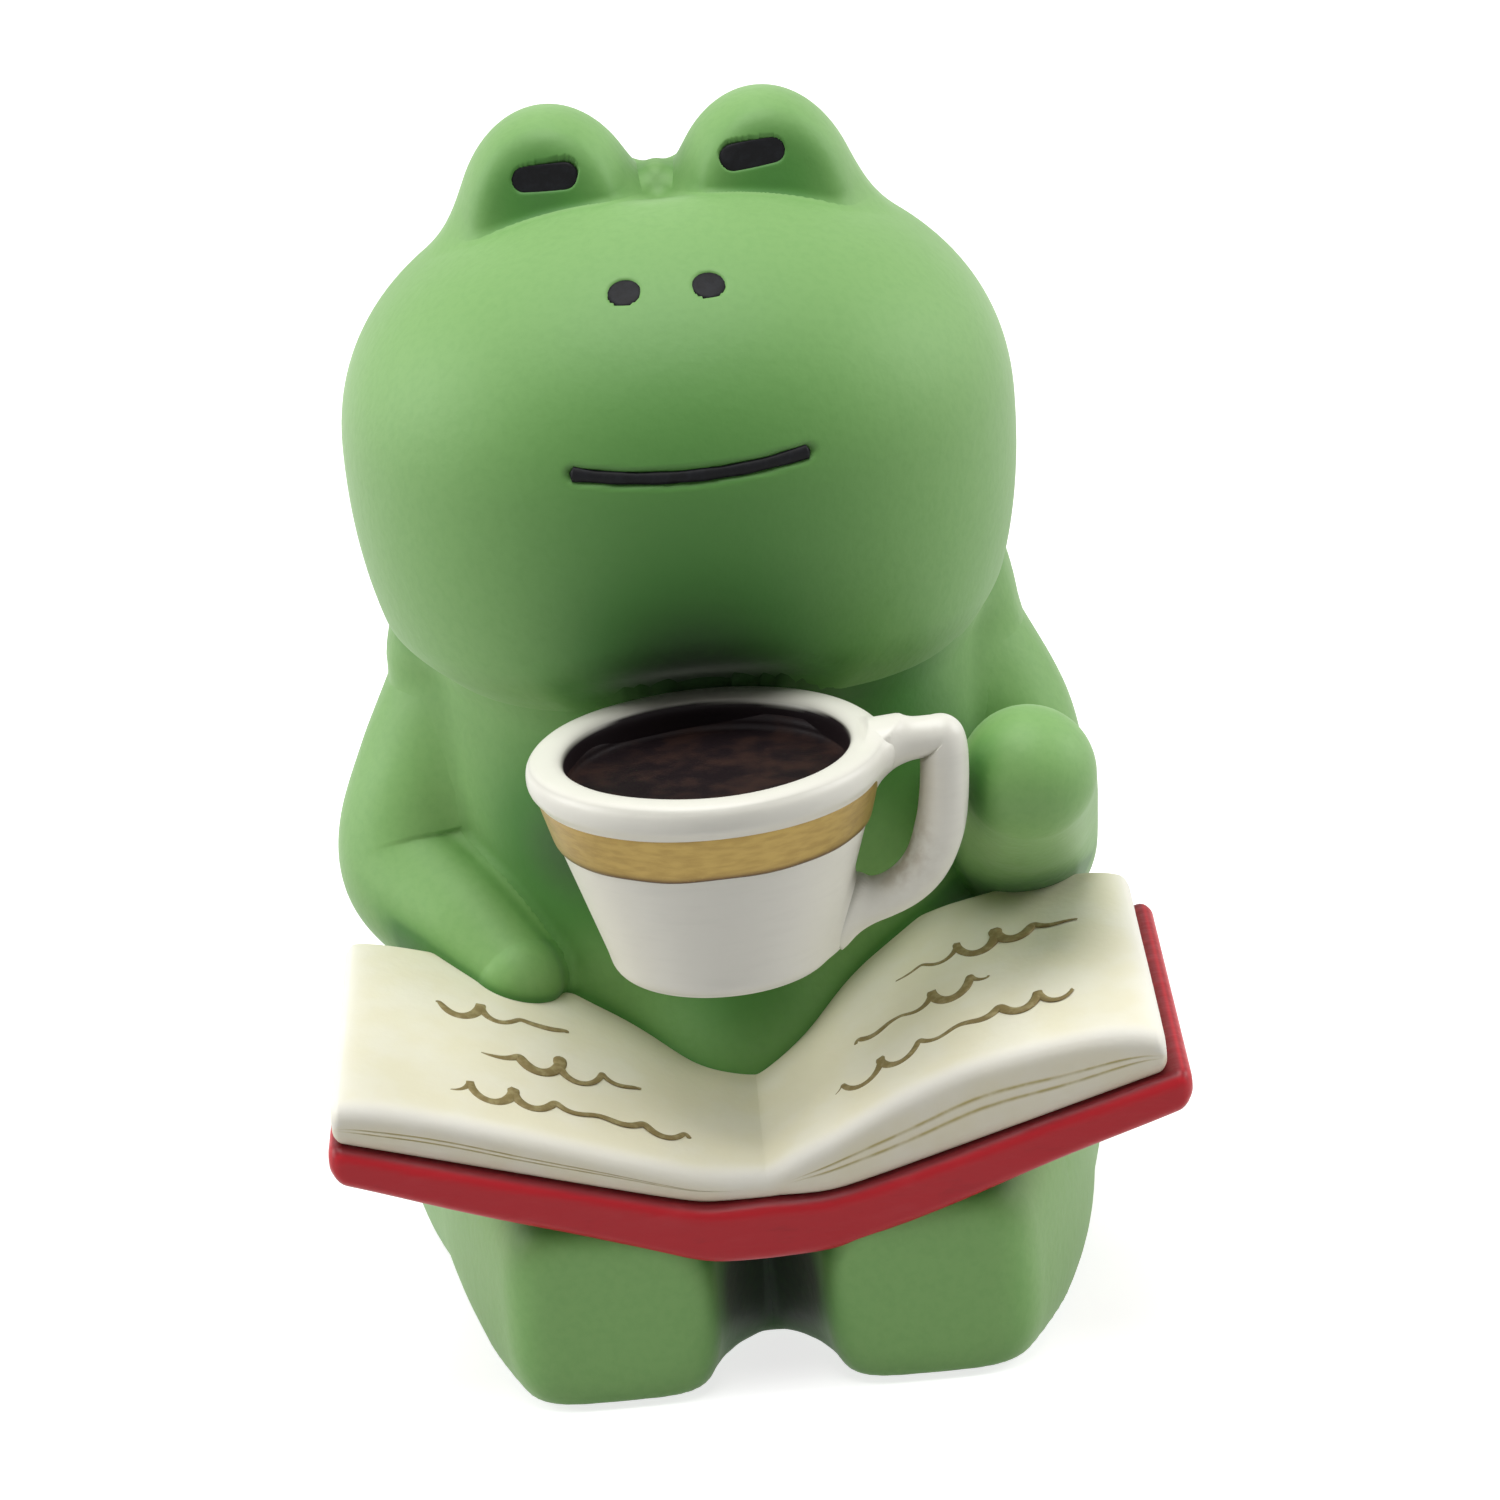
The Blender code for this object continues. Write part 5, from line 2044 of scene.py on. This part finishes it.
@dataclass(frozen=True)
class Frog:
    """The green body and the marks on its face.

    Each blend is the radius of a fillet between neighbours, cup_room is the hollow that lets the
    cup's far lip show, and each focus is how far the rays to a surface crowd to the front.
    """

    head: Head = Head()
    torso: Torso = Torso()
    left_leg: Leg = Leg(Side.LEFT, knee_flare=1.2)
    right_leg: Leg = Leg(Side.RIGHT)
    cup_arm: Arm = Arm(
        shoulder=(8.6, 0.2, 23.4),
        bulge=(11.3, -1.3, 20.3),
        elbow=(11.7, -2.2, 15.6),
        hand=(11.8, -13.8, 22.55),
        radii=(3.1, 3.0, 3.1, 2.9, 2.65),
    )
    book_arm: Arm = Arm(
        shoulder=(-8.6, 0.2, 23.4),
        bulge=(-11.3, -1.3, 20.3),
        elbow=(-12.2, -2.4, 16.9),
        hand=(-8.7, -8.1, 13.9),
        radii=(3.1, 3.1, 3.2, 2.6, 1.9),
    )
    neck_blend: Fade = Fade(3.0, 1.2, -9.0, -2.0)
    nape_blend: float = 0.5
    cup_room: Egg = Egg((-0.4, -16.2, 25.3), 7.15, 7.15, 2.2, 2.6)
    cup_room_soft: float = 1.5
    shoulder_blend: Fade = Fade(0.7, 3.5, -5.5, -1.5)
    hip_blend: float = 2.2
    crotch_blend: float = 0.6
    base_round: float = 0.5
    trunk_core: Triple = (0.0, 1.2, 13.0)
    front_focus: float = 0.5
    mound_focus: float = 0.4
    # Dark spots of airbrushing that also serve as painted shade: under the chin, down the face and in the
    # crotch; on the fronts of the eye mounds; on the belly around the cup.
    shade_sprays: tuple[Spot, ...] = (
        Spot((-0.5, -11.0, 26.0), 4.4, 0.72),
        Spot((0.0, -12.5, 34.0), 10.5, 0.40),
        Spot((0.3, -12.5, 3.0), 4.0, 1.0),
        Spot((0.3, -16.2, 3.2), 2.6, 1.0),
    )
    mound_shade_sprays: tuple[Spot, ...] = (
        Spot((-5.0, -3.2, 44.0), 2.6, 0.60),
        Spot((4.4, -3.2, 44.0), 2.6, 0.55),
    )
    belly_shade_sprays: tuple[Spot, ...] = (
        Spot((-6.5, -9.0, 19.0), 4.0, 0.75),
        Spot((6.5, -9.5, 23.5), 4.2, 0.55),
        Spot((0.0, -11.5, 14.5), 4.0, 0.50),
    )

    def build(self, others: Sequence[Form]) -> None:
        """Builds and dresses the body and its marks.

        Args:
            others: the cup and the book, whose creases darken the paint as painted shade.
        """
        green = GreenPaint().material()
        skull, torso = self.head.skull(), self.torso.form()
        mounds = {side: self.head.mound(side) for side in Side}
        arms = [self.cup_arm.form(), self.book_arm.form()]
        legs = {Side.LEFT: self.left_leg, Side.RIGHT: self.right_leg}
        forms = [skull, *mounds.values(), torso, *arms, *legs.values(), *others]
        marks = Face(self.head, skull, mounds)
        surfaces = [
            *self.head_surfaces(skull, mounds, torso, arms, marks),
            self.trunk_surface(skull, torso, arms, legs),
            *self.arm_surfaces(skull, torso, arms),
            *self.leg_surfaces(torso, legs),
        ]
        own_shade_sprays = {
            "trunk": self.belly_shade_sprays,
            "left_eye_mound": self.mound_shade_sprays,
            "right_eye_mound": self.mound_shade_sprays,
        }
        for name, surface, nodes in surfaces:
            piece = mesh_object(name, surface)
            # Painted shade, partly airbrushing: crease depth and the nearby dark spots darken the green.
            points = shade_creases(piece, forms)
            spots = self.shade_sprays + own_shade_sprays.get(name, ())
            set_attribute(piece, "spray", np.clip(sum(spot.value(points) for spot in spots), 0, 1))
            show(piece, green, Slot.GREEN, *nodes)
        marks.build()

    def head_surfaces(
        self, skull: Form, mounds: dict[Side, Form], torso: Form, arms: list[Form], marks: Face
    ) -> list[Part]:
        """The skull and both eye mounds, cut for the face and filleted to each other and the body.

        Args:
            skull: the skull's form.
            mounds: the form of each mound.
            torso: the torso's form.
            arms: both arms' forms.
            marks: the face, which gives the cuts.

        Returns:
            Each piece's name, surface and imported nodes.
        """
        lip, fold = self.head.groove_lip, self.head.fold
        folds = [(mound, fold) for mound in mounds.values()]
        napes = [(arm, self.nape_blend) for arm in arms]
        near = [*folds, (torso, self.neck_blend), *napes]
        form = Filleted(Carved(skull, marks.skull_cuts(), lip), near)
        form = Carved(form, [self.cup_room], self.cup_room_soft)
        surface = globe(form, self.head.centre, 270, 310, reach=24, focus=self.front_focus)
        parts = [("skull", surface, ("head",))]
        for side, mound in mounds.items():
            form = Filleted(Carved(mound, [marks.slot(side)], lip), [(skull, fold)])
            surface = globe(form, self.head.mound_core(side), 220, 340, reach=9, focus=self.mound_focus)
            parts.append((f"{side.word}_eye_mound", surface, ()))
        return parts

    def trunk_surface(self, skull: Form, torso: Form, arms: list[Form], legs: dict[Side, Leg]) -> Part:
        """The torso, filleted to the head, arms and legs, hollowed behind the cup and cut flat below.

        Args:
            skull: the skull's form.
            torso: the torso's form.
            arms: both arms' forms.
            legs: both legs' forms.

        Returns:
            The piece's name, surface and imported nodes.
        """
        shoulders = [(arm, self.shoulder_blend) for arm in arms]
        hips = [(leg, self.hip_blend) for leg in legs.values()]
        form = Filleted(torso, [(skull, self.neck_blend), *shoulders, *hips])
        form = Carved(form, [self.cup_room], self.cup_room_soft)
        form = Shared([form, GROUND], self.base_round)
        return "trunk", globe(form, self.trunk_core, 200, 260, reach=22), ("torso",)

    def arm_surfaces(self, skull: Form, torso: Form, arms: list[Form]) -> list[Part]:
        """Both arms, filleted to the torso and the head.

        Args:
            skull: the skull's form.
            torso: the torso's form.
            arms: both arms' forms.

        Returns:
            Each piece's name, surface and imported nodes.
        """
        parts = []
        for name, arm, form in zip(("cup", "book"), (self.cup_arm, self.book_arm), arms):
            form = Filleted(form, [(torso, self.shoulder_blend), (skull, self.nape_blend)])
            first = np.array(arm.elbow) - np.array(arm.shoulder)
            last = np.array(arm.hand) - np.array(arm.elbow)
            surface = limb(form, arm.path(170), first, last, sides=112, cap_rows=20, reach=9)
            parts.append((f"{name}_side_arm", surface, (f"{name}_arm",)))
        return parts

    def leg_surfaces(self, torso: Form, legs: dict[Side, Leg]) -> list[Part]:
        """Both legs, filleted to the torso and to each other, and cut flat below.

        Args:
            torso: the torso's form.
            legs: both legs' forms.

        Returns:
            Each piece's name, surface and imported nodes.
        """
        parts = []
        ahead = np.array([0.0, -1.0, 0.0])
        for side, leg in legs.items():
            other = legs[Side.RIGHT if side is Side.LEFT else Side.LEFT]
            form = Filleted(leg, [(torso, self.hip_blend), (other, self.crotch_blend)])
            form = Shared([form, GROUND], self.base_round)
            surface = limb(form, leg.path(110), ahead, ahead, sides=140, cap_rows=30, reach=13)
            parts.append((f"{side.word}_thigh", surface, (f"{side.word}_leg",)))
        return parts


@dataclass(frozen=True)
class Face:
    """The eyes, nostrils and mouth: shallow cuts in the green, filled nearly to the brim with enamel."""

    head: Head
    skull: Form
    mounds: dict[Side, Form]
    slot_half: float = 1.3
    slot_roll: float = 6.0
    slot_raise: Pair = (0.35, 0.15)
    fill_sunk: float = 0.05
    fill_round: float = 0.08
    fill_overlap: float = 0.06
    fill_core: float = 0.3
    groove_blend: float = 0.05
    mouth_sink: float = 0.12
    head_reach: float = 20.0
    mound_reach: float = 9.0

    def slot(self, side: Side) -> Chain:
        """The capsule that cuts an eye's slot in the front of its mound.

        Args:
            side: which eye.

        Returns:
            The capsule.
        """
        x, _, z = node_centre(f"{side.word}_eye")
        z += self.slot_raise[0 if side is Side.LEFT else 1]
        middle, _ = face_point(self.mounds[side], x, z, self.mound_reach)
        roll = math.radians(self.slot_roll) if side is Side.LEFT else 0.0
        reach = (self.slot_half - self.head.slot_radius) * np.array([math.cos(roll), 0, math.sin(roll)])
        return Chain([middle - reach, middle + reach], [self.head.slot_radius] * 2, TINY)

    def pit(self, side: Side) -> Chain:
        """The ball that cuts a nostril.

        Args:
            side: which nostril.

        Returns:
            The ball.
        """
        x, _, z = node_centre(f"{side.word}_nostril")
        middle, _ = face_point(self.skull, x, z, self.head_reach)
        return ball(middle, self.head.pit_radius)

    def mouth_line(self, count: int) -> Array:
        """Points along the mouth on the skull: a level line that sags a little in its middle.

        Args:
            count: how many.

        Returns:
            The points, row by row.
        """
        low, high = node_box("mouth")
        share = np.linspace(-1, 1, count)
        middle, half = (low[0] + high[0]) / 2, (high[0] - low[0]) / 2 - self.head.mouth_radius
        radius = self.head.mouth_radius
        z = low[2] + radius + (high[2] - low[2] - 2 * radius) * share**2
        start = np.stack([middle + half * share, 0 * share, z], -1)
        ahead = np.broadcast_to([0.0, -1.0, 0.0], start.shape)
        return cast(self.skull, start, ahead, self.head_reach)

    def skull_cuts(self) -> list[Form]:
        """The nostrils and the mouth's groove.

        Returns:
            The three cuts.
        """
        knots = self.mouth_line(11)
        groove = Chain(list(knots), [self.head.mouth_radius] * len(knots), self.groove_blend)
        return [self.pit(Side.LEFT), self.pit(Side.RIGHT), groove]

    def filled(self, cut: Chain, body: Form) -> Tube:
        """The enamel in a cut: the cut's own form, a little larger, up to just below the green.

        Args:
            cut: what was cut out.
            body: what it was cut from.

        Returns:
            The closed surface.
        """
        form = Shared([Grown(cut, self.fill_overlap), Grown(body, -self.fill_sunk)], self.fill_round)
        core = np.array(cut.knots).mean(axis=0) + (0, self.fill_core, 0)
        return globe(form, core, 80, 140, reach=4)

    def build(self) -> None:
        """Builds and dresses the five marks."""
        enamel = Enamel("black_enamel_fill", "#0a0a0d", "#15161a", 0.5).material()
        for side in Side:
            for mark, cut, body in (
                ("eye", self.slot(side), self.mounds[side]),
                ("nostril", self.pit(side), self.skull),
            ):
                node = f"{side.word}_{mark}"
                show(mesh_object(f"{node}_enamel", self.filled(cut, body)), enamel, Slot.BLACK, node)
        path = self.mouth_line(160) + (0, self.mouth_sink, 0)
        share = np.linspace(-1, 1, len(path))
        radii = self.head.mouth_radius * (0.80 + 0.22 * share**8 + 0.04 * np.sin(17 * share))
        line = piped(path, radii, 20, 0.6, np.broadcast_to([0.0, -1.0, 0.15], path.shape))
        show(mesh_object("mouth_enamel", line), enamel, Slot.BLACK, "mouth")


@dataclass(frozen=True)
class Lamp:
    """A soft square lamp that looks at the figure."""

    name: str
    place: Triple
    size: float
    power: float

    def build(self, target: Vector) -> None:
        """Adds the lamp, turned towards the target.

        Args:
            target: where it looks, in metres.
        """
        data = bpy.data.lights.new(self.name, "AREA")
        data.size = self.size
        data.energy = self.power
        lamp = in_scene(self.name, data)
        lamp.location = self.place
        lamp.rotation_euler = (target - Vector(self.place)).to_track_quat("-Z", "Y").to_euler()


@dataclass(frozen=True)
class Studio:
    """A pale floor, soft lamps, a white surround and the photograph's camera, placed in metres."""

    camera_place: Triple = (0.0, -0.28366, 0.12217)
    camera_target: Triple = (0.00132, -0.00152, 0.02009)
    camera_roll: float = -5.2
    lens: float = 180.0
    sensor: float = 36.0
    floor_half: float = 3.0
    floor_colour: str = "#c4c4c4"
    floor_glow: float = 0.75
    ambient: str = "#ffffff"
    ambient_strength: float = 0.08
    lamps: tuple[Lamp, ...] = (
        Lamp("top", (-0.04, -0.07, 0.62), 0.45, 3.3),
        Lamp("left", (-0.60, 0.06, 0.30), 0.40, 2.5),
        Lamp("right", (0.60, 0.06, 0.34), 0.40, 2.4),
    )

    def camera(self) -> None:
        """The camera at the photograph's angle, rolled as it was."""
        data = bpy.data.cameras.new("camera")
        data.lens = self.lens
        data.sensor_width = self.sensor
        data.clip_start = 0.01
        camera = in_scene("camera", data)
        place, target = Vector(self.camera_place), Vector(self.camera_target)
        turn = (target - place).to_track_quat("-Z", "Y").to_matrix().to_4x4()
        roll = Matrix.Rotation(math.radians(self.camera_roll), 4, "Z")
        camera.matrix_world = Matrix.Translation(place) @ turn @ roll
        bpy.context.scene.camera = camera

    def surround(self) -> None:
        """A world that lights evenly, and that the camera and reflections see as white."""
        world = bpy.data.worlds.new("surround")
        bpy.context.scene.world = world
        world.use_nodes = True
        tree = world.node_tree
        plain = tree.nodes["Background"]
        plain.inputs["Color"].default_value = linear(self.ambient)
        plain.inputs["Strength"].default_value = self.ambient_strength
        white = tree.nodes.new("ShaderNodeBackground")
        white.inputs["Color"].default_value = linear("#ffffff")
        mixed = tree.nodes.new("ShaderNodeMixShader")
        tree.links.new(seen_by_eye(tree), mixed.inputs[0])
        tree.links.new(plain.outputs[0], mixed.inputs[1])
        tree.links.new(white.outputs[0], mixed.inputs[2])
        tree.links.new(mixed.outputs[0], tree.nodes["World Output"].inputs["Surface"])

    def floor(self) -> None:
        """A matt floor that glows to the camera by as much as it takes to be white around the shadow."""
        half = self.floor_half
        mesh = bpy.data.meshes.new("floor")
        corners = [(-half, -half, 0), (half, -half, 0), (half, half, 0), (-half, half, 0)]
        mesh.from_pydata(corners, [], [(0, 1, 2, 3)])
        floor = in_scene("floor", mesh)
        p = Palette("pale_floor")
        p.set(Base_Color=linear(self.floor_colour), Roughness=0.9, Specular_IOR_Level=0.2)
        glow = p.times(seen_by_eye(p.tree), self.floor_glow)
        p.set(Emission_Color=linear("#ffffff"), Emission_Strength=glow)
        mesh.materials.append(p.material)

    def build(self) -> None:
        """Sets up everything around the figure."""
        self.floor()
        self.surround()
        self.camera()
        for lamp in self.lamps:
            lamp.build(Vector(self.camera_target))
        bpy.context.scene.view_settings.view_transform = "Standard"


def seen_by_eye(tree: bpy.types.NodeTree) -> bpy.types.NodeSocket:
    """One for camera, glossy and transmission rays, and nought for the rays that light things.

    Args:
        tree: the nodes to add it to.

    Returns:
        The socket.
    """
    rays = tree.nodes.new("ShaderNodeLightPath")
    total = rays.outputs["Is Camera Ray"]
    for kind in ("Is Glossy Ray", "Is Transmission Ray"):
        larger = tree.nodes.new("ShaderNodeMath")
        larger.operation = "MAXIMUM"
        tree.links.new(total, larger.inputs[0])
        tree.links.new(rays.outputs[kind], larger.inputs[1])
        total = larger.outputs[0]
    return total


def main() -> None:
    """Builds every piece, then the studio."""
    logging.basicConfig(level=logging.INFO, format="%(name)s %(message)s")
    frog, cup, book = Frog(), Cup(), Book()
    frog.build([cup.cone(), cup.handle(), book])
    body = [frog.head.skull(), frog.torso.form(), frog.cup_arm.form(), frog.book_arm.form()]
    legs = [frog.left_leg, frog.right_leg]
    cup.build([*body, cup.cone(), cup.handle(), book])
    book.build([*body, *legs, cup.cone(), book], frog.torso.form())
    Studio().build()


if __name__ == "__main__":
    main()
